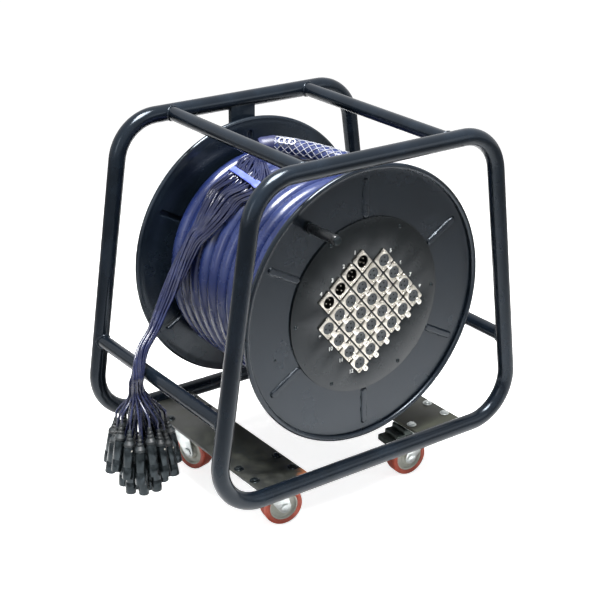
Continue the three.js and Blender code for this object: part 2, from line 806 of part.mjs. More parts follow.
function connector({ along, across, male }) {
  const depth = male ? maleSocketDepth : femaleSocketDepth;
  const flange = boxAround(along, across, flangeLength, flangeWidth, flangeBack, flangeFront);
  const shell = prism(ring(shellRadius, shellSides, 0, along, across), shellDepth + flangeFront);
  const socket = prism(ring(socketRadius, smallSides, 0, along, across), depth + overrun);
  const body = cut(
    join(flange, shell.translate(0, 0, -shellDepth)),
    socket.translate(0, 0, flangeFront - depth),
  );
  if (!male) {
    const slotLength = stemLength + stemClearance * 2;
    const slotWidth = stemWidth + stemClearance * 2;
    return cut(body, boxAround(
      along + stemOffset, across, slotLength, slotWidth, -shellDepth - overrun, flangeFront + overrun,
    ));
  }
  const pins = ring(pinCircleRadius, 3, 0, along, across).map(({ x, y }) =>
    prism(ring(pinRadius, boltSides, 0, x, y), pinLength + overrun)
      .translate(0, 0, flangeFront - depth - overrun));
  return join(body, ...pins);
}

function connectorRow(row) {
  const first = row[0];
  const last = row[row.length - 1];
  const strap = block(
    [first.along, first.across - strapOffset - strapWidth / 2, -shellDepth + strapThickness],
    [last.along, first.across - strapOffset + strapWidth / 2, -shellDepth + strapThickness * 2],
  );
  return join(...row.map(connector), strap);
}

function latchRow(row) {
  const females = row.filter(({ male }) => !male);
  const tabBack = flangeFront + latchTravel + stemClearance;
  const tabs = females.flatMap(({ along, across }) => {
    const tabEnd = along + flangeLength / 2 + tabOverhang;
    return [
      boxAround(tabEnd - tabLength / 2, across, tabLength, tabWidth, tabBack, tabBack + tabThickness),
      boxAround(along + stemOffset, across, stemLength, stemWidth, -linkDepth, tabBack + tabThickness / 2),
    ];
  });
  const [first] = females;
  const last = females[females.length - 1];
  const link = block(
    [first.along + stemOffset - stemLength / 2, first.across - stemWidth / 2, -linkDepth],
    [last.along + stemOffset + stemLength / 2, first.across + stemWidth / 2, -linkDepth + linkThickness],
  );
  return join(link, ...tabs);
}

rows.forEach((row, k) => {
  piece(grid, `connector_row_${k + 1}`, connectorRow(row), nickel);
  piece(grid, `latch_row_${k + 1}`, latchRow(row), latchMetal);
});

// Cable on the drum

// A place on the drum: degrees round from +X, distance from the axle, and distance along it
function onDrum(angle, radius, y) {
  return new THREE.Vector3(radius * Math.cos(angle * degrees), y, radius * Math.sin(angle * degrees));
}

function fromAxle(point) {
  return new THREE.Vector3(point.x, 0, point.z);
}

// Adds a straight of one cable diameter past the last point of a run
function straightEnd(points) {
  const last = points[points.length - 1];
  const heading = last.clone().sub(points[points.length - 2]).normalize();
  return [...points, last.clone().addScaledVector(heading, cableDiameter)];
}

// The outer layer, from its outer end: down a ramp at the front disc, then turn by turn to the rear disc
function windingPoints() {
  const stepAngle = 360 / stepsPerTurn;
  const firstY = frontDiscY + firstTurnInset;
  const points = Array.from({ length: rampSteps + turns * stepsPerTurn + 1 }, (unused, k) => {
    const rampShare = Math.min(k / rampSteps, 1);
    const ease = rampShare * rampShare * (3 - 2 * rampShare);
    const radius = looseRadius + (turnRadius - looseRadius) * ease;
    const y = firstY + ((k - rampSteps) * turnPitch) / stepsPerTurn;
    return onDrum(rampEndAngle - k * stepAngle, radius, y);
  });
  const outerStraight = straightEnd([points[1], points[0]]);
  const chordAngle = (2 * Math.asin(cableRadius / turnRadius)) / degrees;
  const endAngle = rampEndAngle - (rampSteps + turns * stepsPerTurn) * stepAngle - chordAngle;
  const endRise = (chordAngle * turnPitch) / 360;
  const end = onDrum(endAngle, turnRadius, points[points.length - 1].y + endRise);
  return [outerStraight[2], ...points, end];
}

// The ramp belongs to the drum up to the parting radius and to the loose end outside it
function partingCylinder(radius) {
  return new THREE.CylinderGeometry(radius, radius, drumWidth, partingSides).translate(0, drumShift, 0);
}

const winding = windingPoints();
const sectionTurn = quarterTurn; // a corner of the section faces the next turn
const windingSides = 6;
const wound = tube(new Run(winding, { outward: fromAxle }), cableRadius, windingSides, sectionTurn);
piece(drum, "cable_winding", common(wound, partingCylinder(partingRadius)), cableJacket);

// The least distance between turns, measured between points that are more than half a turn apart
let leastGap = Infinity;
winding.forEach((point, i) => {
  for (let j = i + stepsPerTurn / 2; j < winding.length; j++) {
    leastGap = Math.min(leastGap, point.distanceTo(winding[j]) - cableDiameter);
  }
});
console.log(`cable_winding: least gap to itself ${leastGap.toFixed(2)} mm`);

// The layers below, as a plain core, with the cable where it comes up from them and where it goes
// through the barrel to the stage box
const coreRadius = turnRadius - cableRadius * Math.cos(Math.PI / windingSides) - gap;
const core = turned([
  [barrelRadius + gap, frontDiscY + gap],
  [coreRadius, frontDiscY + gap],
  [coreRadius, rearDiscY - gap],
  [barrelRadius + gap, rearDiscY - gap],
], barrelSides);

const innerEnd = winding[winding.length - 1];
const innerHeading = innerEnd.clone().sub(winding[winding.length - 2]).normalize();
const riserStart = innerEnd.clone().addScaledVector(innerHeading, gap);
const riserAngle = Math.atan2(innerEnd.z, innerEnd.x) / degrees;
const riserDropShares = [0.25, 0.6, 1]; // of one layer
const riserLimitY = rearDiscY - gap * 2 - cableRadius;
const riser = new Run([
  riserStart,
  riserStart.clone().addScaledVector(innerHeading, cableRadius),
  ...riserDropShares.map((share, k) => onDrum(
    riserAngle - ((k + 1) * 360) / stepsPerTurn,
    turnRadius - share * cableDiameter,
    Math.min(innerEnd.y + ((k + 1) * turnPitch) / stepsPerTurn, riserLimitY),
  )),
], { outward: fromAxle });

const leadEndY = frontDiscY + leadEndInset;
const leadTurnRadius = Math.abs(leadHoleY - leadEndY) / 2;
const lead = new Run([
  onDrum(leadAngle, barrelRadius + cableRadius, leadHoleY),
  onDrum(leadAngle, leadDrop + leadTurnRadius, leadHoleY),
  onDrum(leadAngle, leadDrop + leadTurnRadius / 3, leadHoleY - leadTurnRadius / 3),
  onDrum(leadAngle, leadDrop, leadHoleY - leadTurnRadius),
  onDrum(leadAngle, leadDrop, leadEndY),
]);
piece(drum, "cable_core", join(
  core,
  tube(riser, cableRadius, windingSides, sectionTurn),
  tube(lead, cableRadius, smallSides),
), cableJacket);

// The loose end of the cable: it comes up the ramp, lies across the outer layer and stays with the frame.
// The points are [degrees round the drum, distance along the axle].
const looseRoute = [
  [31, -148.5], [35.5, -144.5], [40, -138], [44.5, -129], [49, -118], [56, -98], [62, -74],
  [67.5, -46], [72, -18], [77, 15], [82, 50], [87, 78], [91, 93], [95.5, 99],
];
const outerEnd = winding[0];
const outerHeading = outerEnd.clone().sub(winding[1]).normalize();
const loosePoints = [
  outerEnd,
  outerEnd.clone().addScaledVector(outerHeading, cableRadius),
  ...looseRoute.map(([angle, y]) => onDrum(angle, looseRadius, y)),
];
const rampPoints = winding.slice(1, rampSteps + 2).reverse();
const cableEndSides = 8;
const looseRun = new Run(loosePoints, { outward: fromAxle });
const wholeRun = new Run([...rampPoints, ...loosePoints], { outward: fromAxle });
const looseEnd = new THREE.Group();
looseEnd.position.z = axleZ;
reel.add(looseEnd);
const flatsOutside = 1 / Math.cos(Math.PI / partingSides);
piece(looseEnd, "cable_loose_end", cut(
  tube(wholeRun, cableRadius, cableEndSides),
  partingCylinder((partingRadius + gap) * flatsOutside),
), cableJacket);

// Pulling grip: a sleeve over the loose end
const [sleeveFrom, sleeveTo] = gripSleeveShare.map((share) => Math.round(share * looseRun.steps));
const sleeveRun = new Run(loosePoints.slice(sleeveFrom, sleeveTo + 1), { outward: fromAxle });
const sleeveRadius = cableRadius + gripSleeveGap + gripSleeveWall;
piece(looseEnd, "pulling_grip", cut(
  tube(sleeveRun, sleeveRadius, cableEndSides),
  tube(looseRun, cableRadius + gripSleeveGap, cableEndSides),
), gripMesh);

// Tails: one bundle, first spread flat over the drum and then drawn together and hung over the side rail.
// Each row is [x, y, height above the axle, half width, half thickness].
const tailRoute = [
  [-42, 101, 198, 18, 9], [-62, 84, 190, 46, 5], [-77, 60, 184, 66, 4.4], [-86.9, 45.3, 178.6, 74, 4.2],
  [-91, 40, 176.5, 74, 4.2], [-95.1, 34.7, 174.4, 74, 4.2], [-107, 26, 167, 72, 4.2],
  [-122, 22, 156, 64, 4.4], [-143, 24, 137.5, 52, 5], [-163, 27, 113, 40, 6.5],
  [-180, 30, 84, 30, 8], [-194, 37, 52, 24, 9.5], [-206, 45, 20, 20, 11], [-224, 53, -13, 18, 12],
  [-247, 60, -41, 17, 12], [-272, 62, -65, 17, 12], [-297, 58, -83, 17, 11.5], [-314, 51, -103, 17, 10.5],
  [-321, 43, -122, 16, 10.5], [-320.5, 31, -138, 14.5, 11], [-318, 22, -154, 12.5, 12],
];
const tailSides = 10;
const tailEndSides = 4;

// A body through rings of corners: a flat face closes each end, or the last ring runs on to the first
function skinned(rings, { closed = false } = {}) {
  const count = rings[0].length;
  const triangles = [];
  const add = (...corners) => corners.forEach(({ x, y, z }) => triangles.push(x, y, z));
  rings.forEach((here, i) => {
    if (i + 1 === rings.length && !closed) return;
    const there = rings[(i + 1) % rings.length];
    here.forEach((corner, k) => {
      const next = (k + 1) % count;
      add(corner, here[next], there[next]);
      add(corner, there[next], there[k]);
    });
  });
  const end = rings[rings.length - 1];
  for (let k = 1; k + 1 < count && !closed; k++) {
    add(rings[0][0], rings[0][k + 1], rings[0][k]);
    add(end[0], end[k], end[k + 1]);
  }
  const geometry = new THREE.BufferGeometry();
  geometry.setAttribute("position", new THREE.Float32BufferAttribute(triangles, 3));
  return closedBody(geometry);
}

const breakout = loosePoints[loosePoints.length - 1];
const breakoutHeading = breakout.clone().sub(loosePoints[loosePoints.length - 2]).normalize();
const bundleStart = breakout.clone().addScaledVector(breakoutHeading, gap);
const bundleStraight = bundleStart.clone().addScaledVector(breakoutHeading, cableRadius / 2);
const bundleEnd = new THREE.Vector3(plugCentreX, plugCentreY, neckHeight + gap - axleZ);
const bundle = [
  { at: bundleStart, wide: cableRadius, thick: cableRadius },
  { at: bundleStraight, wide: cableRadius, thick: cableRadius },
  ...tailRoute.map(([x, y, z, wide, thick]) => ({ at: new THREE.Vector3(x, y, z), wide, thick })),
  { at: bundleEnd, wide: neckRadius, thick: neckRadius },
];
const bundleRun = new Run(bundle.map(({ at }) => at), { outward: fromAxle });
const bundleFrames = bundleRun.computeFrenetFrames(bundleRun.steps, false);

function bundleRing(i, spare = 0) {
  const { at, wide, thick } = bundle[i];
  return ring(1, tailSides).map(({ x, y }) => at.clone()
    .addScaledVector(bundleFrames.normals[i], x * (thick + spare))
    .addScaledVector(bundleFrames.binormals[i], y * (wide + spare)));
}

piece(looseEnd, "tail_bundle", skinned(bundle.map((unused, i) => bundleRing(i))), tailJacket);

// Strap: a band round the spread tails, over three rings of the bundle
const strapRings = [5, 6, 7];
const strapOutside = strapRings.map((i) => bundleRing(i, strapClearance + strapWall));
const strapInside = strapRings.map((i) => bundleRing(i, strapClearance));
piece(looseEnd, "tie_strap", skinned([...strapOutside, ...strapInside.reverse()], { closed: true }),
  strapBlue);

// Plugs: each hangs on its own tail below the bundle
function plugPlaces() {
  return plugRingShares.flatMap(({ count, tilt, phase, radius, drop, stagger }) =>
    Array.from({ length: count }, (unused, i) => {
      const heading = (phase + (360 * i) / count) * degrees;
      const rise = plugStagger * stagger * (((i * staggerStepShare) % 1) - 1 / 2);
      const away = new THREE.Vector3(Math.cos(heading), Math.sin(heading), 0);
      const top = neckHeight - plugHang * drop + rise;
      const start = new THREE.Vector3(plugCentreX, plugCentreY, top);
      start.addScaledVector(away, plugSpread * radius);
      const axis = away.multiplyScalar(Math.sin(tilt * degrees));
      axis.z = -Math.cos(tilt * degrees);
      return { start, axis };
    }));
}

const up = new THREE.Vector3(0, 1, 0);

function plug({ start, axis }) {
  const shape = turned([
    [0, 0],
    [bootTopRadius, 0],
    [plugRadius, bootLength],
    [plugRadius, plugLength],
    [0, plugLength],
  ], boltSides);
  shape.applyQuaternion(new THREE.Quaternion().setFromUnitVectors(up, axis));
  return shape.translate(start.x, start.y, start.z);
}

function tailEnd({ start, axis }) {
  const top = new THREE.Vector3(plugCentreX, plugCentreY, neckHeight - neckLength / 2);
  const inPlug = start.clone().addScaledVector(axis, tailDiameter);
  return tube(new Run([top, inPlug]), tailDiameter / 2, tailEndSides);
}

const neck = upright(new THREE.CylinderGeometry(neckRadius, neckRadius, neckLength, tailSides))
  .translate(plugCentreX, plugCentreY, neckHeight - neckLength / 2);
const plugs = plugPlaces();
piece(reel, "plug_cluster", join(neck, ...plugs.map(tailEnd), ...plugs.map(plug)), plugBlack);

export default reel;
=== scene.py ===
# A stage box snake on its wheeled drum reel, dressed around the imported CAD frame.
import json
import math
import random

import bmesh
import bpy
from mathutils import Matrix, Quaternion, Vector


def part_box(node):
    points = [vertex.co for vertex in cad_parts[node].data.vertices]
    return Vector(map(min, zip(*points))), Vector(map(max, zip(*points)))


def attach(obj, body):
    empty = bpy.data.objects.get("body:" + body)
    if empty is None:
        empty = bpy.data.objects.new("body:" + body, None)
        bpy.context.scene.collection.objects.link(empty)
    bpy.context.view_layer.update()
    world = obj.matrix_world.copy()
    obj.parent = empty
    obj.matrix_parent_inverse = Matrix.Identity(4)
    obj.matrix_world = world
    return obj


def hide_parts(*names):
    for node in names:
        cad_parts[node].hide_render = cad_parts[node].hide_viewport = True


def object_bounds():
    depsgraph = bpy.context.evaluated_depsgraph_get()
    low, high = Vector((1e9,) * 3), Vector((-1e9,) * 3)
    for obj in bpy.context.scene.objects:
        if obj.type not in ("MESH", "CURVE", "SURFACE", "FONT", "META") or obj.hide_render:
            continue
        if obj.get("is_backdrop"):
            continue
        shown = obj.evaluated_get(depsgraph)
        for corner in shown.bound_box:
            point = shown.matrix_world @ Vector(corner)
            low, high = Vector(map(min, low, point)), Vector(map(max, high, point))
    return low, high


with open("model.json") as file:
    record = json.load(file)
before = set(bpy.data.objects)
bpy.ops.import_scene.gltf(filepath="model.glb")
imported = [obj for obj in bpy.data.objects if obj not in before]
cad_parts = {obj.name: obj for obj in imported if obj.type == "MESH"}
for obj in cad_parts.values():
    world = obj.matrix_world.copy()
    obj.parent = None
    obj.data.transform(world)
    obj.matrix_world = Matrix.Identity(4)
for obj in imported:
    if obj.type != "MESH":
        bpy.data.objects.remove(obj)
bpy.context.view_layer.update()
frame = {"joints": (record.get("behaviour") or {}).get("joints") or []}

# Camera
# It stands where the photographer stood: to the left of the connectors and a little above the reel,
# with a long lens. Places are in millimetres from the middle of the frame on the floor.
MM = 0.001
hoop_middles = [sum(corner.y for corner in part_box(hoop)) / 2 for hoop in ("front_hoop", "rear_hoop")]
middle_y = sum(hoop_middles) / 2


def place(x, y, z):
    return Vector((x * MM, y * MM + middle_y, z * MM))


camera_azimuth = math.radians(-36.22)
camera_elevation = math.radians(23.23)
camera_roll = math.radians(0.54)
camera_distance = 2435.9 * MM
camera_target = place(-8.5, 0, 330.8)
photo_focal_length = 84.30  # in millimetres, as the sensor's width
sensor_width = 36
farthest_sight = 30  # metres

camera_data = bpy.data.cameras.new("camera")
camera_data.lens = photo_focal_length
camera_data.sensor_width = sensor_width
camera_data.clip_end = farthest_sight
camera = bpy.data.objects.new("camera", camera_data)
towards_camera = Vector((
    math.sin(camera_azimuth) * math.cos(camera_elevation),
    -math.cos(camera_azimuth) * math.cos(camera_elevation),
    math.sin(camera_elevation),
))
camera.rotation_mode = "QUATERNION"
camera.location = camera_target + towards_camera * camera_distance
camera.rotation_quaternion = (-towards_camera).to_track_quat("-Z", "Y") @ Quaternion((0, 0, 1), camera_roll)
scene = bpy.context.scene
scene.collection.objects.link(camera)
scene.camera = camera
scene.view_settings.view_transform = "Standard"

# Studio
# A plain pale floor under soft lamps: a broad one overhead draws the long highlights on the tubes, and
# two weaker ones light the side of the drum and the connectors.


def linear(code):
    """A hex sRGB colour as linear red, green, blue and alpha."""
    channels = [int(code[i:i + 2], 16) / 255 for i in (1, 3, 5)]
    return tuple(c / 12.92 if c <= 0.04045 else ((c + 0.055) / 1.055) ** 2.4 for c in channels) + (1.0,)


def add_node(tree, kind, settings=None, links=None):
    """A new node with its settings, by socket or property name, and its links, by input."""
    node = tree.nodes.new(kind)
    for key, value in (settings or {}).items():
        if isinstance(key, int) or key in node.inputs:
            node.inputs[key].default_value = value
        else:
            setattr(node, key, value)
    for key, source in (links or {}).items():
        tree.links.new(source, node.inputs[key])
    return node


backdrop_color = "#ffffff"
floor_color = "#e9e9e9"
floor_reach = 12  # metres each way
sky_strength = 0.3
floor_glow = 0.8  # added where the camera sees the floor, so that it is as white as the backdrop
floor_shine = 0.12  # the same where the floor is seen in paint or metal

world = bpy.data.worlds.new("studio")
world.use_nodes = True
scene.world = world
tree = world.node_tree
tree.nodes.clear()
path = add_node(tree, "ShaderNodeLightPath")
looked_at = path.outputs["Is Camera Ray"]
for ray in ("Is Glossy Ray", "Is Transmission Ray"):
    looked_at = add_node(tree, "ShaderNodeMath", {"operation": "MAXIMUM"}, {
        0: looked_at, 1: path.outputs[ray],
    }).outputs[0]
soft_sky, backdrop = (
    add_node(tree, "ShaderNodeBackground", {"Color": linear(backdrop_color), "Strength": strength})
    for strength in (sky_strength, 1.0)
)
either = add_node(tree, "ShaderNodeMixShader", {}, {
    0: looked_at, 1: soft_sky.outputs[0], 2: backdrop.outputs[0],
})
add_node(tree, "ShaderNodeOutputWorld", {}, {"Surface": either.outputs[0]})

floor_material = bpy.data.materials.new("pale_floor")
floor_material.use_nodes = True
tree = floor_material.node_tree
tree.nodes.clear()
path = add_node(tree, "ShaderNodeLightPath")
seen = add_node(tree, "ShaderNodeMath", {"operation": "MULTIPLY", 1: floor_glow}, {
    0: path.outputs["Is Camera Ray"],
})
glow = add_node(tree, "ShaderNodeMath", {"operation": "MULTIPLY_ADD", 1: floor_shine}, {
    0: path.outputs["Is Glossy Ray"], 2: seen.outputs[0],
})
floor_diffuse = add_node(tree, "ShaderNodeBsdfDiffuse", {"Color": linear(floor_color)})
floor_emission = add_node(tree, "ShaderNodeEmission", {"Color": linear(backdrop_color)}, {
    "Strength": glow.outputs[0],
})
floor_sum = add_node(tree, "ShaderNodeAddShader", {}, {
    0: floor_diffuse.outputs[0], 1: floor_emission.outputs[0],
})
add_node(tree, "ShaderNodeOutputMaterial", {}, {"Surface": floor_sum.outputs[0]})

bm = bmesh.new()
bmesh.ops.create_grid(bm, x_segments=1, y_segments=1, size=floor_reach)
floor_mesh = bpy.data.meshes.new("floor")
bm.to_mesh(floor_mesh)
bm.free()
floor_mesh.materials.append(floor_material)
floor = bpy.data.objects.new("floor", floor_mesh)
scene.collection.objects.link(floor)
floor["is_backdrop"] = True

reel_middle = place(0, 0, 350)
for name, position, size, power, spread in (
    ("overhead", place(-200, -300, 2400), (1.0, 1.0), 36, 70),
    ("left_side", place(-2400, -700, 1500), (0.5, 1.3), 11, 180),
    ("right_front", place(1500, -2400, 1500), (1.4, 1.0), 6, 180),
):  # sizes are in metres, powers in watts and spreads in degrees
    lamp = bpy.data.lights.new(name, "AREA")
    lamp.shape = "RECTANGLE"
    lamp.size, lamp.size_y = size
    lamp.energy = power
    lamp.spread = math.radians(spread)
    light = bpy.data.objects.new(name, lamp)
    light.location = position
    light.rotation_mode = "QUATERNION"
    light.rotation_quaternion = (reel_middle - position).to_track_quat("-Z", "Y")
    scene.collection.objects.link(light)

# Cable on the drum
# A multicore cable 28 mm thick in a blue PVC jacket, wound turn by turn between the discs over a layer
# that runs back the other way. The jacket was extruded, so it is smooth with a soft shine, and dusty.
joints = {joint["name"]: joint for joint in frame["joints"]}
AXLE = Vector(joints["drum_spin"]["pos_m"])
AXLE.y = middle_y


def surface(name, color, patch_color, patch, roughness, grain, bump,
            metallic=0.0, level=0.5, tint="#ffffff"):
    """A material with cloudy patches of a second colour and a fine grain. Sizes are in millimetres."""
    material = bpy.data.materials.new(name)
    material.use_nodes = True
    tree = material.node_tree
    shader = tree.nodes["Principled BSDF"]
    shader.inputs["Metallic"].default_value = metallic
    shader.inputs["Specular IOR Level"].default_value = level
    # tint colours the reflections; the blue tints given below are a painted reflection colour, standing for
    # bluish light
    shader.inputs["Specular Tint"].default_value = linear(tint)
    where = add_node(tree, "ShaderNodeTexCoord").outputs["Object"]
    clouds = add_node(tree, "ShaderNodeTexNoise", {
        "Scale": 1 / (patch * MM), "Detail": 5.0, "Roughness": 0.62,
    }, {"Vector": where})
    share = add_node(tree, "ShaderNodeMapRange", {
        "From Min": 0.45, "From Max": 0.7,
    }, {"Value": clouds.outputs["Fac"]})
    colors = add_node(tree, "ShaderNodeMix", {
        "data_type": "RGBA", 6: linear(color), 7: linear(patch_color),
    }, {0: share.outputs[0]})
    shine = add_node(tree, "ShaderNodeMapRange", {
        "From Min": 0.3, "From Max": 0.7, "To Min": roughness[0], "To Max": roughness[1],
    }, {"Value": clouds.outputs["Fac"]})
    specks = add_node(tree, "ShaderNodeTexNoise", {
        "Scale": 1 / (grain * MM), "Detail": 2.0,
    }, {"Vector": where})
    relief = add_node(tree, "ShaderNodeBump", {
        "Strength": 1.0, "Distance": bump * MM,
    }, {"Height": specks.outputs["Fac"]})
    tree.links.new(colors.outputs[2], shader.inputs["Base Color"])
    tree.links.new(shine.outputs[0], shader.inputs["Roughness"])
    tree.links.new(relief.outputs[0], shader.inputs["Normal"])
    return material


# PVC: an even colour with a waxy highlight, dulled in patches by dust
cable_pvc = surface("extruded_blue_pvc", "#151f45", "#202b50", 60, (0.2, 0.34), 2.5, 0.05, level=0.45)

cable_radius = 14.0
cable_sides = 20
cable_gap = 0.3  # between the layers, and where the cable is parted
turn_pitch = 28.5
turn_radius = 176.0
loose_radius = 207.5  # of the loose end, which lies over the turns
turns = 10
ramp_angle = 54.0  # over which the cable climbs from the turns to the loose end
ramp_end = 18.0
front_disc_y = -165.0
rear_disc_y = 156.0
disc_clearance = 6.3  # between the front disc and the first turn
first_turn_y = front_disc_y + disc_clearance + cable_radius
steps_per_turn = 90
drop_angle = 42.0  # over which the cable steps down to the layer below
lower_radius = turn_radius - cable_radius * 2 - cable_gap
lower_turns = 9
parting_radius = turn_radius + cable_radius  # the drum turns inside it, clear of the loose end
thinnest = 4.0  # at least this much of the cable is left on either side where it is parted


def on_drum(angle, radius, y):
    """A place by its angle round the axle, its distance from it and its place along it."""
    turn = math.radians(angle)
    return AXLE + Vector((radius * math.cos(turn), y, radius * math.sin(turn))) * MM


def eased(share):
    """A share from 0 to 1 that starts and stops gently."""
    share = min(max(share, 0), 1)
    return share * share * (3 - 2 * share)


def curve_object(name, lines, radius, sides=16, closed=False):
    """Round tubes along one or more lines of points, as one curve."""
    data = bpy.data.curves.new(name, "CURVE")
    data.dimensions = "3D"
    data.bevel_depth = radius * MM
    data.bevel_resolution = sides // 2 - 2
    data.use_fill_caps = not closed
    for points in lines:
        spline = data.splines.new("POLY")
        spline.points.add(len(points) - 1)
        for point, at in zip(spline.points, points):
            point.co = (*at, 1)
        spline.use_cyclic_u = closed
        spline.use_smooth = True
    piece = bpy.data.objects.new(name, data)
    scene.collection.objects.link(piece)
    return piece


def parted(line, least=0.0, most=math.inf):
    """A curve's tube as a smooth mesh, its corners held between two distances from the axle."""
    name = line.name
    mesh = bpy.data.meshes.new_from_object(line)
    bpy.data.objects.remove(line)
    for vert in mesh.vertices:
        away = Vector((vert.co.x - AXLE.x, 0, vert.co.z - AXLE.z))
        held = min(max(away.length, least * MM), most * MM)
        vert.co += away.normalized() * (held - away.length)
    mesh.shade_smooth()
    piece = bpy.data.objects.new(name, mesh)
    scene.collection.objects.link(piece)
    return piece


def dress(piece, materials, body, slot, *nodes):
    """Gives a piece its materials, its body and the nodes that it stands for. slot is not used."""
    for material in materials:
        piece.data.materials.append(material)
    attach(piece, body)
    if nodes:
        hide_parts(*nodes)
    return piece


outer_layer = []
outer_angle = ramp_angle + turns * 360
outer_steps = int(outer_angle * steps_per_turn / 360)
for step in range(outer_steps + 1):
    turned_by = outer_angle * step / outer_steps
    radius = loose_radius + (turn_radius - loose_radius) * eased(turned_by / ramp_angle)
    y = first_turn_y + (turned_by - ramp_angle) * turn_pitch / 360
    outer_layer.append((radius, on_drum(ramp_end - turned_by, radius, y)))
winding = [at for radius, at in outer_layer if radius < parting_radius + cable_radius - thinnest]
ramp = [at for radius, at in outer_layer if radius > parting_radius - cable_radius + thinnest]

lower_angle = lower_turns * 360
lower_steps = lower_turns * steps_per_turn
last_y = first_turn_y + turns * turn_pitch
for step in range(1, lower_steps + 1):
    turned_by = lower_angle * step / lower_steps
    radius = turn_radius + (lower_radius - turn_radius) * eased(turned_by / drop_angle)
    y = last_y - max(turned_by - drop_angle, 0) * turn_pitch / 360
    winding.append(on_drum(ramp_end - outer_angle - turned_by, radius, y))
dress(
    parted(curve_object("cable_turns", [winding], cable_radius, cable_sides), most=parting_radius),
    [cable_pvc], "drum", "cable_jacket", "cable_winding", "cable_core",
)

# Lead to the stage box
# The inner end of the cable comes in through the barrel and turns towards the back of the connectors.
lead_angle = -60.0
lead_hole_y = -85.0
lead_radius = 72.0
lead_bend = 17.5
lead_bend_steps = 8
lead_drop = (130, 115, 100)  # from the axle, where it comes straight in
lead_end_y = front_disc_y + 45.0

lead_route = [(radius, lead_hole_y) for radius in (*lead_drop, lead_radius + lead_bend)]
for k in range(1, lead_bend_steps + 1):
    swing = math.radians(90 * k / lead_bend_steps)
    lead_route.append((
        lead_radius + lead_bend * (1 - math.sin(swing)), lead_hole_y - lead_bend * (1 - math.cos(swing)),
    ))
lead_route.append((lead_radius, lead_end_y))
lead = [on_drum(lead_angle, radius, y) for radius, y in lead_route]
dress(
    curve_object("cable_lead", [lead], cable_radius, cable_sides),
    [cable_pvc], "drum", "cable_jacket", "cable_core",
)

# Loose end of the cable
# The outer end of the same cable comes up the ramp and runs across the top of the drum to where its 28
# pairs come out. The drum takes the lower part of the ramp with it.

# Each is an angle round the axle and a place along it
loose_route = [
    (31, -148.5), (35.5, -144.5), (40, -138), (44.5, -129), (49, -118), (56, -98), (62, -74),
    (67.5, -46), (72, -18), (77, 15), (82, 50), (87, 78), (91, 93), (95.5, 99),
]


def smooth_route(points, steps=6):
    """A smooth curve through points that may lie unevenly, with several steps from each to the next."""
    ends = [2 * points[0] - points[1], *points, 2 * points[-1] - points[-2]]
    route = []
    for a, b, c, d in zip(ends, ends[1:], ends[2:], ends[3:]):
        reach = (c - b).length
        leave = (c - a) * reach / ((b - a).length + reach)
        arrive = (d - b) * reach / (reach + (d - c).length)
        squared = 3 * (c - b) - 2 * leave - arrive
        cubed = 2 * (b - c) + leave + arrive
        for t in (k / steps for k in range(steps)):
            route.append(b + leave * t + squared * t ** 2 + cubed * t ** 3)
    return route + [points[-1]]


def route_length(points):
    return sum((b - a).length for a, b in zip(points, points[1:]))


ramp.reverse()
ramp_heading = (ramp[-1] - ramp[-2]).normalized()
straight = [ramp[-1] + ramp_heading * cable_radius * k * MM for k in range(1, 4)]
loose_points = ramp[:-1] + smooth_route([
    ramp[-1], *straight, *[on_drum(angle, loose_radius, y) for angle, y in loose_route],
])
loose_end = curve_object("cable_end", [loose_points], cable_radius, cable_sides)
loose_cable = dress(
    parted(loose_end, least=parting_radius + cable_gap),
    [cable_pvc], "frame", "cable_jacket", "cable_loose_end",
)

# Pulling grip
# A braided sleeve over the cable's end: two sets of thin strands wound in opposite directions, with a
# heat-shrink boot where the pairs come out.
braid_strands = 7
braid_strand_radius = 0.6
braid_lay = 105.0  # along the cable for one turn
braid_start = 215.0  # before the cable's end
braid_end = 24.0
sleeve_radius = cable_radius + 0.9
weave_rise = 0.4  # of a strand over the one that it crosses
boot_profile = [
    (-26, 14.6), (-24, 15.2), (-16, 15.4), (-6, 15.4), (0, 15.2), (3, 14.2), (6, 12.6),
]  # each is a place past the cable's end and the boot's radius there
loop_count = 3
loop_wire_radius = 0.8
loop_radius = 5.5
loop_rise = 2.0  # of a loop's middle over the sleeve
loop_pitch = 9.0
loop_tilt = 0.4
loop_steps = 24

# Polyester yarn: pale blue-grey, matt, with dirt in it
braid_yarn = surface("braided_polyester", "#8f9199", "#595c66", 30, (0.55, 0.75), 1.0, 0.1)
# Polyolefin shrunk by heat: nearly black, with a satin surface that shows what is under it
shrink_sleeve = surface("heat_shrink", "#161a36", "#24294a", 25, (0.35, 0.5), 3.0, 0.15, level=0.4)
# Plastic-coated wire: white, smooth
white_coating = surface("white_coated_wire", "#c9cbd2", "#a9abb4", 10, (0.35, 0.5), 1.0, 0.03)


def frames_along(points):
    """For each point: the direction of the route, outwards from the axle, and across."""
    found = []
    for i, point in enumerate(points):
        along = (points[min(i + 1, len(points) - 1)] - points[max(i - 1, 0)]).normalized()
        out = Vector((point.x - AXLE.x, 0, point.z - AXLE.z))
        out = (out - along * out.dot(along)).normalized()
        found.append((along, out, along.cross(out)))
    return found


to_end = [route_length(loose_points[i:]) / MM for i in range(len(loose_points))]
covered = [i for i, left in enumerate(to_end) if braid_end < left < braid_start]
sleeve_line = [loose_points[i] for i in covered]
strands = []
for way in (-1, 1):
    for strand in range(braid_strands):
        points = []
        for i, (along, out, across) in zip(covered, frames_along(sleeve_line)):
            angle = 2 * math.pi * (strand / braid_strands + way * to_end[i] / braid_lay)
            over = sleeve_radius + weave_rise * way * math.sin(angle * braid_strands / 2)
            points.append(loose_points[i] + (out * math.cos(angle) + across * math.sin(angle)) * over * MM)
        strands.append(points)
pulling_grip = dress(
    curve_object("pulling_grip_braid", strands, braid_strand_radius, sides=6),
    [braid_yarn], "frame", "grip_mesh", "pulling_grip",
)


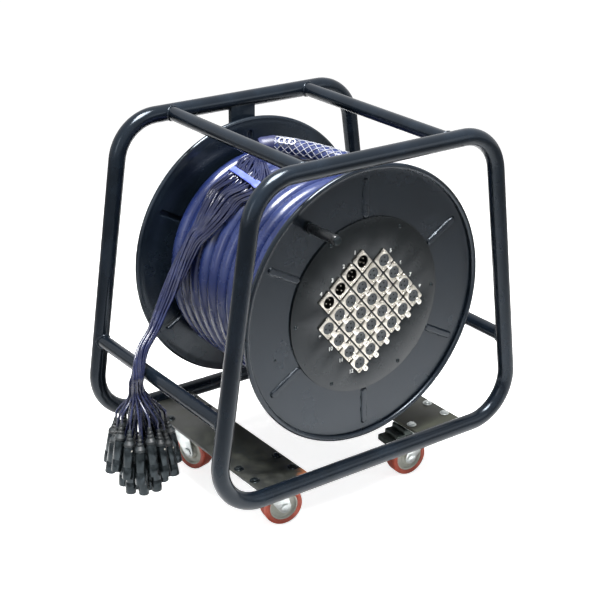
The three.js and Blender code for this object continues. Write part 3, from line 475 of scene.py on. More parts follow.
def bridged(bm, rings):
    """Joins each ring of corners to the next with a band of faces, and gives back the rings' edges."""
    loops = [list(dict.fromkeys(edge for vert in ring for edge in vert.link_edges)) for ring in rings]
    for here, there in zip(loops, loops[1:]):
        bmesh.ops.bridge_loops(bm, edges=here + there)
    return loops


def swept(line, radii, sides=20):
    """A round skin along a line, with a radius at each point, closed at both ends."""
    bm = bmesh.new()
    rings = []
    for point, (along, out, across), radius in zip(line, frames_along(line), radii):
        turn = Matrix((across, out, along)).transposed().to_4x4()
        rings.append(bmesh.ops.create_circle(
            bm, segments=sides, radius=radius * MM, matrix=Matrix.Translation(point) @ turn,
        )["verts"])
    loops = bridged(bm, rings)
    for end in (loops[0], loops[-1]):
        bmesh.ops.contextual_create(bm, geom=end)
    bmesh.ops.recalc_face_normals(bm, faces=bm.faces)
    return bm


def bm_piece(name, bm, materials, body, slot, nodes=(), smooth=40):
    """Makes an object of a finished bmesh, smooth up to an angle in degrees, and dresses it."""
    mesh = bpy.data.meshes.new(name)
    bm.to_mesh(mesh)
    bm.free()
    mesh.shade_smooth()
    mesh.set_sharp_from_angle(angle=math.radians(smooth))
    piece = bpy.data.objects.new(name, mesh)
    scene.collection.objects.link(piece)
    return dress(piece, materials, body, slot, *nodes)


cable_tip = loose_points[-1]
tip_heading = (loose_points[-1] - loose_points[-2]).normalized()
boot_line = [cable_tip + tip_heading * past * MM for past, radius in boot_profile]
boot_radii = [radius for past, radius in boot_profile]
breakout_boot = bm_piece(
    "breakout_boot", swept(boot_line, boot_radii), [shrink_sleeve], "frame", "tail_jacket",
)

# The loops that the grip is hauled by lie folded on the sleeve
hauled = covered[-len(covered) // 8]
along, out, across = frames_along(loose_points)[hauled]
front = Vector((0, -1, 0))
facing = (out + (front - along * front.dot(along)).normalized()).normalized()  # up and to the front
eyes = []
for k in range(loop_count):
    middle = loose_points[hauled] + (facing * (sleeve_radius + loop_rise) - along * loop_pitch * k) * MM
    tipped = (facing + along * loop_tilt).normalized()
    eyes.append([
        middle + (along * math.cos(turn) + tipped.cross(along) * math.sin(turn)) * loop_radius * MM
        for turn in (2 * math.pi * step / loop_steps for step in range(loop_steps))
    ])
hauling_loops = dress(
    curve_object("hauling_loops", eyes, loop_wire_radius, sides=8, closed=True),
    [white_coating], "frame", "grip_mesh",
)

# Tails and plugs
# 28 thin screened pairs, each in its own dark blue jacket. They fan out over the drum under a strap, twist
# together over the side rail and spread again, each to a plug with a black metal shell and a ribbed boot.
tail_radius = 2.0
tail_count = 28
draped_radius = 195.2  # on top of the turns
breakout_half_width = 12.5
fan_half_thickness = 5.0
# Each is an angle round the axle, a place along it, the half width and how flat the tails lie
fan_route = [
    (100, 95, 18, 0.5), (104, 78, 36, 1), (108, 60, 50, 1), (112.5, 46, 57, 1), (117, 39.5, 58, 1),
    (122, 43, 56, 1), (129, 55, 47, 1), (136, 52, 43, 1), (143, 51, 37, 1), (149.5, 56, 29, 0.7),
]
# Each is x, y, height above the axle, half width and half thickness
hanging_route = [
    (-180, 60.5, 84, 25, 7), (-194, 63.5, 60, 23, 8), (-206, 67, 36, 22, 8.5), (-218, 69, 14, 21, 9),
    (-232, 69, -9, 20, 9.5), (-247, 66, -31, 19, 10), (-272, 54.5, -60, 18, 10.5), (-297, 44.5, -81, 18, 11),
    (-312, 33, -100, 17, 11), (-320, 25.5, -118, 17, 11), (-321.5, 28, -130, 16, 12.5),
    (-321, 30, -142, 16, 14), (-320, 29, -153, 19, 17),
]
bundle_twist = 150  # degrees, from the drum to the neck
golden_angle = 2.4  # radians, which spreads the tails evenly over the bundle's section
wave_share = 0.14  # of the bundle's half width, that a tail strays sideways
wave_lift = 1.6  # that it strays up and down where it lies on the drum
wave_step = 0.55  # radians from one place of the route to the next
lift_step = 0.8
plug_centre = place(-318, 22, 214.7)
plug_spread = 42.0
plug_hang = 84.7
plug_stagger = 24.0
# Each ring of plugs: their number, their lean and first heading in degrees, and the shares of the spread,
# the hang and the stagger
plug_ring_shares = [(3, 1, 0, 0.256, 0.97, 0.167), (9, 4, 0, 0.674, 0.8, 0.417), (16, 11, 11, 1, 0.386, 0.9)]

# PVC on thin pairs: navy, glossier than the thick cable
tail_pvc = surface("thin_navy_pvc", "#10152f", "#1a2140", 35, (0.12, 0.22), 2.0, 0.04, level=0.6)

reaches = [math.sqrt((i + 0.5) / tail_count) for i in range(tail_count)]
pack = sorted(
    (reach * math.cos(i * golden_angle), reach * math.sin(i * golden_angle))
    for i, reach in enumerate(reaches)
)
random.seed(28)
sway = [(random.uniform(0, 2 * math.pi), random.uniform(0.6, 1.4)) for i in range(tail_count)]

bundle = [(cable_tip, breakout_half_width, breakout_half_width, 0)]
bundle += [
    (on_drum(angle, draped_radius, y), wide, fan_half_thickness, flat) for angle, y, wide, flat in fan_route
]
bundle += [(AXLE + Vector((x, y, z)) * MM, wide, thick, 0) for x, y, z, wide, thick in hanging_route]
bundle_frames = frames_along([ring[0] for ring in bundle])
twist_start = len(fan_route)  # of the bundle's rings, the one where the tails come together


def draped(point, radius, share):
    """The point moved by a share of its way to a distance from the axle."""
    away = Vector((point.x - AXLE.x, 0, point.z - AXLE.z))
    return point + away.normalized() * (radius * MM - away.length) * share


def tail_points(i):
    """Where one tail passes each ring of the bundle."""
    points = []
    phase, swing = sway[i]
    fanned = (2 * i + 1) / tail_count - 1
    along_axle = Vector((0, 1, 0))
    for j, ((at, wide, thick, flat), (along, out, across)) in enumerate(zip(bundle, bundle_frames)):
        turn = math.radians(bundle_twist) * eased((j - twist_start) / (len(bundle) - 1 - twist_start))
        aside = pack[i][0] * math.cos(turn) - pack[i][1] * math.sin(turn)
        above = pack[i][0] * math.sin(turn) + pack[i][1] * math.cos(turn)
        sideways = (1 - flat) * aside + flat * fanned
        if 2 < j < len(bundle) - 3:
            sideways += wave_share * swing * math.sin(phase + j * wave_step)
        point = at + across.lerp(along_axle, flat).normalized() * sideways * (wide - tail_radius) * MM
        point += out * (1 - flat) * above * (thick - tail_radius) * MM
        points.append(draped(point, draped_radius + wave_lift * math.sin(phase + j * lift_step), flat))
    return points


plug_groups = []
for count, tilt, phase, radius, drop, stagger in plug_ring_shares:
    group = []
    for i in range(count):
        heading = math.radians(phase + 360 * i / count)
        rise = plug_stagger * stagger * ((i * 0.618) % 1 - 0.5)
        away = Vector((math.cos(heading), math.sin(heading), 0))
        start = plug_centre + (away * plug_spread * radius + Vector((0, 0, rise - plug_hang * drop))) * MM
        lean = math.radians(tilt)
        group.append((start, away * math.sin(lean) - Vector((0, 0, math.cos(lean)))))
    plug_groups.append(group)

neck = bundle[-1][0]


def heading_at_neck(points):
    out = points[-1] - neck
    return math.atan2(out.y, out.x) % (2 * math.pi)


def spread_at_neck(points):
    return (points[-1] - neck).xy.length


# The tails nearest the middle of the neck go to the inner plugs, each to the plug on its own side
tails = sorted((tail_points(i) for i in range(tail_count)), key=spread_at_neck)
runs = []
for group in plug_groups:
    members, tails = sorted(tails[:len(group)], key=heading_at_neck), tails[len(group):]
    runs += [(points, start, axis) for points, (start, axis) in zip(members, group)]

# Vulcanised rubber: matt black, greyed where it flexes
boot_rubber = surface("moulded_black_rubber", "#15191b", "#272d30", 12, (0.4, 0.6), 0.8, 0.06, level=0.4)
# Black chrome over die-cast zinc: dark with hard highlights
black_chrome = surface("black_chrome", "#22282b", "#32393d", 14, (0.14, 0.28), 1.2, 0.02, metallic=0.75)
# Nickel plate: bright and slightly warm, clouded by handling
bright_nickel = surface("nickel_plate", "#c6c2b9", "#aba79e", 22, (0.2, 0.36), 3.0, 0.008, metallic=1.0)


def spun(profile, steps=32):
    """A profile of (radius, height) in millimetres turned about Z, as a bmesh."""
    bm = bmesh.new()
    verts = [bm.verts.new((radius * MM, 0, height * MM)) for radius, height in profile]
    edges = [bm.edges.new(pair) for pair in zip(verts, verts[1:])]
    bmesh.ops.spin(bm, geom=verts + edges, cent=(0, 0, 0), axis=(0, 0, 1), angle=2 * math.pi, steps=steps,
                   use_merge=True)
    bmesh.ops.remove_doubles(bm, verts=bm.verts, dist=0.000001)
    bmesh.ops.recalc_face_normals(bm, faces=bm.faces)
    return bm


def shape_of(bm, paint=None):
    """A finished bmesh as a mesh to stamp copies of. paint gives each face its material by its middle."""
    if paint:
        for face in bm.faces:
            face.material_index = paint(face.calc_center_median() / MM)
    mesh = bpy.data.meshes.new("shape")
    bm.to_mesh(mesh)
    bm.free()
    return mesh


def stamped(bm, shape, matrix, material=None):
    """Adds a copy of a shape to a bmesh, and gives back its edges there."""
    verts, edges, faces = set(bm.verts), set(bm.edges), set(bm.faces)
    bm.from_mesh(shape)
    bmesh.ops.transform(bm, matrix=matrix, verts=[vert for vert in bm.verts if vert not in verts])
    if material is not None:
        for face in bm.faces:
            if face not in faces:
                face.material_index = material
    return [edge for edge in bm.edges if edge not in edges]


def moved(by):
    """A move by a vector in millimetres."""
    return Matrix.Translation(Vector(by) * MM)


plug_body_start = 28.4
plug_recess = 70.0
plug_pin_circle = 4.3
plug_screw_at = (0, 8.7, 34)
tail_before_plug = 14.0  # straight, on the plug's axis
tail_in_plug = 20.0
plug_profile = [
    (0, 0), (2.7, 0), (3.5, 1), (3.6, 4), (3.0, 5), (3.0, 6.5), (4.3, 7.5), (4.4, 10.5), (3.7, 11.5),
    (3.7, 13), (5.2, 14), (5.4, 17), (4.6, 18), (6.2, 19), (7.6, 22.5), (8.9, 23.5), (9.0, 27.5), (8.2, 28.3),
    (8.2, 30), (8.8, 31), (8.9, 61), (8.4, 61.8), (8.4, 63.4), (9.0, 64.2), (9.0, 83.2), (8.6, 84),
    (7.9, 84), (7.6, 83.4), (7.6, plug_recess), (0, plug_recess),
]
plug_shape = shape_of(spun(plug_profile, 24), lambda at: 0 if at.z < plug_body_start else 1)
plug_pin_shape = shape_of(spun([(0, 0), (1.2, 0), (1.2, 9.6), (0.8, 10.6), (0, 10.8)], 8))
plug_screw_shape = shape_of(spun([(0, 0.9), (1.0, 0.75), (1.7, 0.1), (1.7, -0.8), (0, -0.8)], 10))
for k, (points, start, axis) in enumerate(runs, 1):
    upright = Matrix.Translation(start) @ axis.to_track_quat("Z", "Y").to_matrix().to_4x4()
    bm = bmesh.new()
    stamped(bm, plug_shape, upright)
    for pin in range(3):
        side = math.radians(90 + 120 * pin)
        at = Vector((math.cos(side), math.sin(side), 0)) * plug_pin_circle + Vector((0, 0, plug_recess))
        stamped(bm, plug_pin_shape, upright @ moved(at), 2)
    roll = Matrix.Rotation(random.uniform(0, 2 * math.pi), 4, "Z")
    screw = moved(plug_screw_at) @ Matrix.Rotation(math.radians(-90), 4, "X")
    stamped(bm, plug_screw_shape, upright @ roll @ screw, 2)
    plug = bm_piece(
        f"plug_{k}", bm, [boot_rubber, black_chrome, bright_nickel], "frame", "plug_black", ["plug_cluster"],
    )
    into_plug = [start - axis * tail_before_plug * MM, start, start + axis * tail_in_plug * MM]
    route = smooth_route(points + into_plug, steps=4)
    tail = dress(
        curve_object(f"tail_{k}", [route], tail_radius, sides=8),
        [tail_pvc], "frame", "tail_jacket", "tail_bundle",
    )

# Tie strap
# A band of woven nylon, 11 mm wide, drawn round the spread tails and pressed flat against the drum.
strap_angle = 117.0  # round the axle
strap_slant = 4.0  # degrees more round the axle at its front end
strap_middle_y = 39.5
strap_width = 11.0
strap_half_thickness = 5.2
strap_half_reach = 61.0
strap_buckle_share = 0.55  # of the way from its middle to its front end
strap_buckle_rise = 1.6
strap_buckle_width = strap_width * 1.3
strap_wall = 1.0
strap_sides = 64
flatness = (0.6, 0.7)  # powers that press a circle into the strap's outline, along it and out from the drum
strap_thread = 1.3  # between threads, a little coarser than real ones, so that they show

# Woven nylon: light blue, matt, with a fine diagonal thread
strap_weave = surface("woven_blue_nylon", "#4551a0", "#6871b8", 22, (0.5, 0.7), strap_thread, 0.35)

bm = bmesh.new()
rings = []
for share in (-0.5, -0.25, 0, 0.25, 0.5):
    ring = bmesh.ops.create_circle(bm, segments=strap_sides, radius=1)["verts"]
    for vert in ring:
        side, up = vert.co.x, vert.co.y
        sideways = math.copysign(abs(side) ** flatness[0], side)
        lift = math.copysign(abs(up) ** flatness[1], up) * strap_half_thickness
        width = strap_width
        if up > 0 and abs(sideways + strap_buckle_share) < strap_buckle_share / 4:
            width = strap_buckle_width
            lift += strap_buckle_rise
        angle = strap_angle - strap_slant / 2 * sideways + math.degrees(share * width / draped_radius)
        vert.co = on_drum(angle, draped_radius + lift, strap_middle_y + sideways * strap_half_reach)
    rings.append(ring)
bridged(bm, rings)
bmesh.ops.recalc_face_normals(bm, faces=bm.faces)
strap = bm_piece("tie_strap_band", bm, [strap_weave], "frame", "strap_blue", ["tie_strap"])
wall = strap.modifiers.new("wall", "SOLIDIFY")
wall.thickness = strap_wall * MM
wall.offset = 0

# Frame
# Two hoops of bent steel tube, 29 mm thick, with four lighter rails coped and welded between them. It was
# sprayed with black enamel after welding, so the weld beads show through the paint.
hoop_tube_radius = 14.5
rail_radius = 12.0
hoop_top_width = 474.0
hoop_bottom_width = 632.8
hoop_bottom_z = 107.0
hoop_height = 534.5
hoop_bend_radius = 77.0
bend_steps = 20
top_rail_x = 142.0
side_rail_rise = 149.7
hoop_y = (hoop_middles[1] - hoop_middles[0]) / 2 / MM
tube_sides = 32
weld_radius = 2.4
weld_steps = 48
weld_ripple = 0.6
weld_ripples = 17

# Enamel: a thick glossy black film with a faint blue cast, lightly hazed by cleaning. Its reflections are
# tinted blue as well: a painted reflection colour that stands for bluish light round the reel
enamel = surface(
    "black_enamel", "#0b1016", "#111820", 80, (0.12, 0.24), 3.0, 0.03, level=0.3, tint="#d8e5f2",
)


def hoop_line(y):
    """A loop of straights and round bends through a hoop's four corners."""
    bottom, top = hoop_bottom_width / 2, hoop_top_width / 2
    hoop_top_z = hoop_bottom_z + hoop_height
    ends = [(bottom, hoop_bottom_z), (top, hoop_top_z), (-top, hoop_top_z), (-bottom, hoop_bottom_z)]
    corners = [place(x, y, z) for x, z in ends]
    line = []
    for before, corner, after in zip(corners[-1:] + corners, corners, corners[1:] + corners[:1]):
        arrive = (corner - before).normalized()
        leave = (after - corner).normalized()
        turn = arrive.angle(leave)
        inward = (leave - arrive * leave.dot(arrive)).normalized()
        start = corner - arrive * hoop_bend_radius * math.tan(turn / 2) * MM
        centre = start + inward * hoop_bend_radius * MM
        for k in range(bend_steps + 1):
            swing = turn * k / bend_steps
            spoke = arrive * math.sin(swing) - inward * math.cos(swing)
            line.append(centre + spoke * hoop_bend_radius * MM)
    return line


for name, y in (("front_hoop", -hoop_y), ("rear_hoop", hoop_y)):
    hoop = curve_object(f"{name}_tube", [hoop_line(y)], hoop_tube_radius, tube_sides, closed=True)
    dress(hoop, [enamel], "frame", "frame_paint", name)

leg_lean = (hoop_bottom_width - hoop_top_width) / 2 / hoop_height
side_rail_x = hoop_bottom_width / 2 - side_rail_rise * leg_lean
rails = [
    ("top_rail_left", -top_rail_x, hoop_bottom_z + hoop_height, Vector((1, 0, 0))),
    ("top_rail_right", top_rail_x, hoop_bottom_z + hoop_height, Vector((1, 0, 0))),
    ("side_rail_left", -side_rail_x, hoop_bottom_z + side_rail_rise, Vector((leg_lean, 0, 1)).normalized()),
    ("side_rail_right", side_rail_x, hoop_bottom_z + side_rail_rise, Vector((-leg_lean, 0, 1)).normalized()),
]  # the last is the direction of the hoop's tube where the rail meets it
beads = []
for name, x, z, along in rails:
    for end in (-1, 1):
        towards = Vector((0, -end, 0))
        across = along.cross(towards)
        bead = []
        for turn in (2 * math.pi * k / weld_steps for k in range(weld_steps)):
            side = rail_radius * math.sin(turn)
            reach = math.sqrt(hoop_tube_radius ** 2 - side ** 2) + weld_ripple * math.sin(turn * weld_ripples)
            way = along * rail_radius * math.cos(turn) + across * side + towards * reach
            bead.append(place(x, end * hoop_y, z) + way * MM)
        beads.append(bead)
    axis = [place(x, -hoop_y, z), place(x, hoop_y, z)]
    rail = curve_object(f"{name}_tube", [axis], rail_radius, tube_sides)
    dress(rail, [enamel], "frame", "frame_paint", name)
dress(curve_object("weld_beads", beads, weld_radius, sides=8, closed=True), [enamel], "frame", "frame_paint")

# Axle post
# A flat steel bar welded into the rear hoop behind the drum, in the same enamel. It carries the stub axle.
post_edge = 1.0


def rounded(bm, parts, radius, segments=2, affect="EDGES"):
    """Rounds edges, or the corners of a flat outline, by a radius in millimetres."""
    bmesh.ops.bevel(bm, geom=parts, offset=radius * MM, affect=affect, segments=segments, profile=0.5,
                    material=-1, clamp_overlap=True)


def block(low, high, edge, segments=2):
    """A box between two corners, in metres, with its edges rounded, as a bmesh."""
    bm = bmesh.new()
    shape = Matrix.Translation((low + high) / 2) @ Matrix.Diagonal((*(high - low), 1))
    bmesh.ops.create_cube(bm, size=1, matrix=shape)
    rounded(bm, bm.edges[:], edge, segments)
    return bm


axle_post = block(*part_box("axle_post"), post_edge)
bm_piece("axle_post_bar", axle_post, [enamel], "frame", "frame_paint", ["axle_post"])

# Castor plates
# Two flat steel bars, 98 mm wide, welded across the bottom of the hoops. Their paint is thinner and duller
# than the tubes', with scratches and some rust at the left one's front corner.
bolt_spacing_x = 77.0
bolt_spacing_y = 46.5
bolt_head_height = 4.0
plate_edge = 0.8
castor_names = ("front_left", "front_right", "rear_left", "rear_right")
kingpins = {name: Vector(joints[f"swivel_spin_{name}"]["pos_m"]) for name in castor_names}
rust_color = "#7a4a2c"
rust_reach = 34.0
rust_blotch = 9.0

# Brushed-on black paint: olive-grey where it is worn thin
left_plate_paint = surface("worn_black_paint", "#191b19", "#2c2e28", 26, (0.3, 0.5), 0.9, 0.05, level=0.4)
# The right plate's paint is lighter and more olive than the left's, to stand for the light it reflects: a
# painted reflection
right_plate_reflection_paint = surface("olive_paint_painted_reflection", "#26281f", "#35372c", 45, (0.32, 0.55), 0.9, 0.05, level=0.4)


def with_rust(material, at):
    """Lets rust through a paint near one place, with a ragged edge."""
    tree = material.node_tree
    shader = tree.nodes["Principled BSDF"]
    painted = shader.inputs["Base Color"].links[0].from_socket
    where = add_node(tree, "ShaderNodeTexCoord").outputs["Object"]
    far = add_node(tree, "ShaderNodeVectorMath", {"operation": "DISTANCE", 1: at}, {0: where})
    near = add_node(tree, "ShaderNodeMapRange", {
        "From Min": rust_reach * MM, "From Max": 0.0,
    }, {"Value": far.outputs["Value"]})
    blotches = add_node(tree, "ShaderNodeTexNoise", {
        "Scale": 1 / (rust_blotch * MM), "Detail": 6.0,
    }, {"Vector": where})
    ragged = add_node(tree, "ShaderNodeMath", {"operation": "ADD"}, {
        0: near.outputs[0], 1: blotches.outputs["Fac"],
    })
    share = add_node(tree, "ShaderNodeMapRange", {
        "From Min": 0.75, "From Max": 1.15,
    }, {"Value": ragged.outputs[0]})
    rusted = add_node(tree, "ShaderNodeMix", {"data_type": "RGBA", 7: linear(rust_color)}, {
        0: share.outputs[0], 6: painted,
    })
    tree.links.new(rusted.outputs[2], shader.inputs["Base Color"])


# Zinc plate: pale grey with a cloudy, slightly blue shine
zinc_plate = surface("bright_zinc", "#c8cdcc", "#a6acac", 18, (0.26, 0.44), 1.2, 0.03, metallic=0.9)

hex_shape = shape_of(spun([(0, 4), (4.9, 4), (6.2, 3.3), (6.2, 1.0), (0, 1.0)], 6))
washer_shape = shape_of(spun([(0, 1.1), (8.0, 1.1), (8.4, 0.8), (8.4, 0), (0, 0)], 24))
# The right plate gets the lighter paint, which is a painted reflection
for side, paint in (("left", left_plate_paint), ("right", right_plate_reflection_paint)):
    low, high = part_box(f"castor_plate_{side}")
    high.z -= bolt_head_height * MM
    if side == "left":
        with_rust(paint, Vector((high.x, low.y, high.z)))
    bm = block(low, high, plate_edge)
    for end in ("front", "rear"):
        middle = kingpins[f"{end}_{side}"]
        for dx in (-bolt_spacing_x / 2, bolt_spacing_x / 2):
            for dy in (-bolt_spacing_y / 2, bolt_spacing_y / 2):
                at = Matrix.Translation((middle.x + dx * MM, middle.y + dy * MM, high.z))
                turn = Matrix.Rotation(random.uniform(0, 1), 4, "Z")
                stamped(bm, washer_shape, at, 1)
                stamped(bm, hex_shape, at @ turn, 1)
    fixing = zinc_plate if side == "right" else black_chrome
    plate = f"castor_plate_{side}"
    bm_piece(f"{plate}_bar", bm, [paint, fixing], "frame", "plate_paint", [plate])

# Castors
# Each has a pressed zinc-plated fork that swivels on a ball race under its top plate, and a polyurethane
# tyre moulded on a grey nylon wheel. The front right one has a stepped brake pedal.
wheel_radius = 35.0
wheel_bolt_radius = 5.0
wheel_bolt_reach = 17.9
top_plate_thickness = 3.5
top_plate_edge = 0.7
fork_edge = 0.6
crown_edge = 1.2
crown_front = -20.0  # from the kingpin towards the wheel
crown_back = 24.0
crown_bottom = 88.4
crown_top = 92.4
leg_inner = 15.0
leg_outer = 17.5
leg_corner_drop = 10.0
eye_radius = 11.0
wheel_trail = 28.0

# Cast polyurethane: translucent red-orange, satin, darker where it has rolled on dirt
tyre_urethane = surface("cast_polyurethane", "#a8452f", "#863626", 22, (0.35, 0.5), 2.0, 0.08)
# Nylon: pale warm grey, moulded, with a soft satin skin
wheel_nylon = surface("moulded_grey_nylon", "#a9aba2", "#8f9188", 20, (0.4, 0.55), 1.5, 0.05)
# Phosphated steel: dark grey-green and dull, with light edges
phosphated = surface("phosphated_steel", "#2b3330", "#454d49", 9, (0.4, 0.6), 0.9, 0.08, metallic=0.55)

half_tyre = [
    (26, 12), (27.5, 12.6), (30.5, 13.4), (32.6, 13.2), (34.2, 11.8), (34.9, 9.5), (wheel_radius, 5),
]
half_wheel = [
    (5.3, 14.6), (9.0, 14.6), (9.4, 14.2), (9.4, 12.6), (13.4, 12.2), (14.2, 11.2), (14.6, 8.4), (15.4, 7.8),
    (21.6, 7.8), (22.4, 8.4), (23.0, 11.2), (23.8, 12), (25.2, 12), (25.7, 11.5),
]
race_profile = [
    (0, 101.5), (20.6, 101.5), (21.6, 100), (22, 98), (21.4, 95.6), (20.2, 94.2), (20.2, 93.2), (6, 92.9),
    (6, 88.0), (9, 88.0), (9, 85.6), (7.6, 85.0), (0, 85.0),
]
hex_head = [(0, 20.6), (6.4, 20.6), (7.9, 19.7), (7.9, 18.1), (0, 18.1)]


def both_sides(half, *between):
    """A closed profile from its upper half and the points between that and its mirror image."""
    return [*half, *between, *((radius, -height) for radius, height in reversed(half)), half[0]]


def box_shape(low, high, edge, segments=2):
    """A rounded box between two corners in millimetres, to stamp."""
    return shape_of(block(Vector(low) * MM, Vector(high) * MM, edge, segments))


def crosswise(at, radius, depth, **options):
    """A bmesh with a cylinder along Y about a place, all in millimetres."""
    bm = bmesh.new()
    bmesh.ops.create_cone(
        bm, radius1=radius * MM, radius2=radius * MM, depth=depth * MM,
        matrix=moved(at) @ Matrix.Rotation(math.pi / 2, 4, "X"), **options,
    )
    return bm


def fork_leg(side):
    """One leg of a fork: flat steel from under the crown to a round eye about the wheel's bolt."""
    across = side * (leg_inner + leg_outer) / 2
    bm = crosswise((wheel_trail, across, wheel_radius), eye_radius, leg_outer - leg_inner, segments=32)
    top = ((crown_front + crown_back) / 2, across, crown_top - leg_corner_drop / 2)
    size = Vector((crown_back - crown_front, leg_outer - leg_inner, leg_corner_drop)) * MM
    bmesh.ops.create_cube(bm, size=1, matrix=moved(top) @ Matrix.Diagonal((*size, 1)))
    bmesh.ops.delete(bm, geom=bm.edges[:], context="EDGES_FACES")
    bmesh.ops.convex_hull(bm, input=bm.verts[:])
    bmesh.ops.delete(bm, geom=[vert for vert in bm.verts if not vert.link_faces], context="VERTS")
    bmesh.ops.dissolve_limit(bm, angle_limit=math.radians(1), verts=bm.verts, edges=bm.edges)
    rim = [edge for edge in bm.edges if edge.calc_face_angle() > math.radians(30)]
    rounded(bm, rim, fork_edge)
    return shape_of(bm)


fork_shapes = [
    box_shape((crown_front, -leg_outer, crown_bottom), (crown_back, leg_outer, crown_top), crown_edge, 3),
    fork_leg(-1), fork_leg(1),
]
castor_seats = {}
for name in castor_names:
    stand = Matrix.Translation((*kingpins[name].xy, 0))
    wheel = joints[f"wheel_spin_{name}"]
    hub = Vector(wheel["axis"]).to_track_quat("Z", "Y").to_matrix().to_4x4()
    hub.translation = wheel["pos_m"]
    trail = hub.translation - kingpins[name]
    castor_seats[name] = stand @ Matrix.Rotation(math.atan2(trail.y, trail.x), 4, "Z")
    for part, profile, steps, material, slot in (
        ("tyre", both_sides(half_tyre, (wheel_radius, 0)), 72, tyre_urethane, "tyre_rubber"),
        ("wheel_centre", both_sides(half_wheel), 56, wheel_nylon, "wheel_plastic"),
    ):
        bm = spun(profile, steps)
        bmesh.ops.transform(bm, matrix=hub, verts=bm.verts)
        node = f"{part}_{name}"
        bm_piece(f"{node}_moulding", bm, [material], f"wheel_{name}", slot, [node], smooth=50)
    bm = spun([
        (0, -wheel_bolt_reach), (wheel_bolt_radius, -wheel_bolt_reach), (wheel_bolt_radius, wheel_bolt_reach),
        (0, wheel_bolt_reach),
    ], 20)
    for turn in (0, math.pi):
        stamped(bm, shape_of(spun(hex_head, 6)), Matrix.Rotation(turn, 4, "X"))
    bmesh.ops.transform(bm, matrix=hub, verts=bm.verts)
    bm_piece(f"wheel_bolt_{name}_hex", bm, [zinc_plate], f"swivel_{name}", "zinc", [f"wheel_bolt_{name}"])
    bm = bmesh.new()
    for shape in fork_shapes:
        stamped(bm, shape, castor_seats[name])
    bm_piece(f"fork_{name}_pressing", bm, [zinc_plate], f"swivel_{name}", "zinc", [f"fork_{name}"])
    low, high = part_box(f"castor_top_{name}")
    low.z = high.z - top_plate_thickness * MM
    bm = block(low, high, top_plate_edge)
    stamped(bm, shape_of(spun(race_profile, 40)), stand)
    bm_piece(f"castor_top_{name}_pressing", bm, [zinc_plate], "frame", "zinc", [f"castor_top_{name}"])

# Brake pedal
# A steel pressing hinged between the front right fork's legs, with three rounded treads that step down.
# It is phosphated, and worn to bare metal on its edges.
pedal_pin_x = 16.0  # behind the kingpin
pedal_pin_z = 80.4
pedal_pin_radius = 3.0
pedal_riser_x = 26.0
pedal_tread_x = pedal_riser_x + 6
pedal_tread_top = pedal_pin_z + 17
arm_half_width = 13.0
arm_bottom = pedal_pin_z - pedal_pin_radius
arm_top = pedal_pin_z + 4
arm_edge = 1.2
tread_half_width = 20.0
tread_pitch = 15.0
tread_lap = 4.0  # of each tread over the one before it
tread_drop = 8.0
tread_height = 12.0
tread_edge = 2.6

bm = crosswise((pedal_pin_x, 0, pedal_pin_z), pedal_pin_radius, leg_outer * 2, segments=20, cap_ends=True)
pedal_blocks = [
    (pedal_pin_x - pedal_pin_radius, arm_bottom, pedal_tread_x, arm_top, arm_half_width, arm_edge),
    (pedal_tread_x - 12, pedal_pin_z - 7, pedal_tread_x, arm_top, arm_half_width, arm_edge),
    (pedal_riser_x, arm_bottom, pedal_tread_x, pedal_tread_top, arm_half_width, arm_edge),
]  # each is its start and bottom, its end and top, its half width and the radius of its edges
for k in range(3):
    start, top = pedal_tread_x + tread_pitch * k, pedal_tread_top - tread_drop * k
    pedal_blocks.append(
        (start - tread_lap, top - tread_height, start + tread_pitch, top, tread_half_width, tread_edge),
    )
for start, bottom, end, top, half, edge in pedal_blocks:
    stamped(bm, box_shape((start, -half, bottom), (end, half, top), edge, 3), Matrix())
bmesh.ops.transform(bm, matrix=castor_seats["front_right"], verts=bm.verts)
bm_piece("brake_pedal_pressing", bm, [phosphated], "pedal", "dark_steel", ["brake_pedal"])

# Axle and hub
# A turned stub axle in two bearings, held by a nut inside the drum. The hub and the barrel round it are
# rolled steel, hidden but for the hub's rear end.

# Ground steel: bright grey with a fine turned grain under a film of grease
ground_steel = surface("ground_steel", "#8f9294", "#6f7274", 20, (0.25, 0.45), 0.6, 0.03, metallic=1.0)
# Hot-rolled steel: dark blue-grey mill scale
mill_scale = surface("hot_rolled_steel", "#2b2f33", "#3d3f40", 30, (0.45, 0.65), 1.5, 0.08, metallic=0.6)


def spun_on_axle(name, profile, material, body, slot, steps=48):
    """A piece turned about the axle: its profile is (radius, place along the axle) in millimetres."""
    bm = spun(profile, steps)
    bmesh.ops.rotate(bm, verts=bm.verts, cent=(0, 0, 0), matrix=Matrix.Rotation(math.radians(-90), 3, "X"))
    bmesh.ops.translate(bm, verts=bm.verts, vec=AXLE)
    return bm_piece(f"{name}_turning", bm, [material], body, slot, [name])


def span_on_axle(node):
    """Where a node starts and ends along the axle, in millimetres from the middle of the frame."""
    return [(corner.y - middle_y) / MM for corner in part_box(node)]


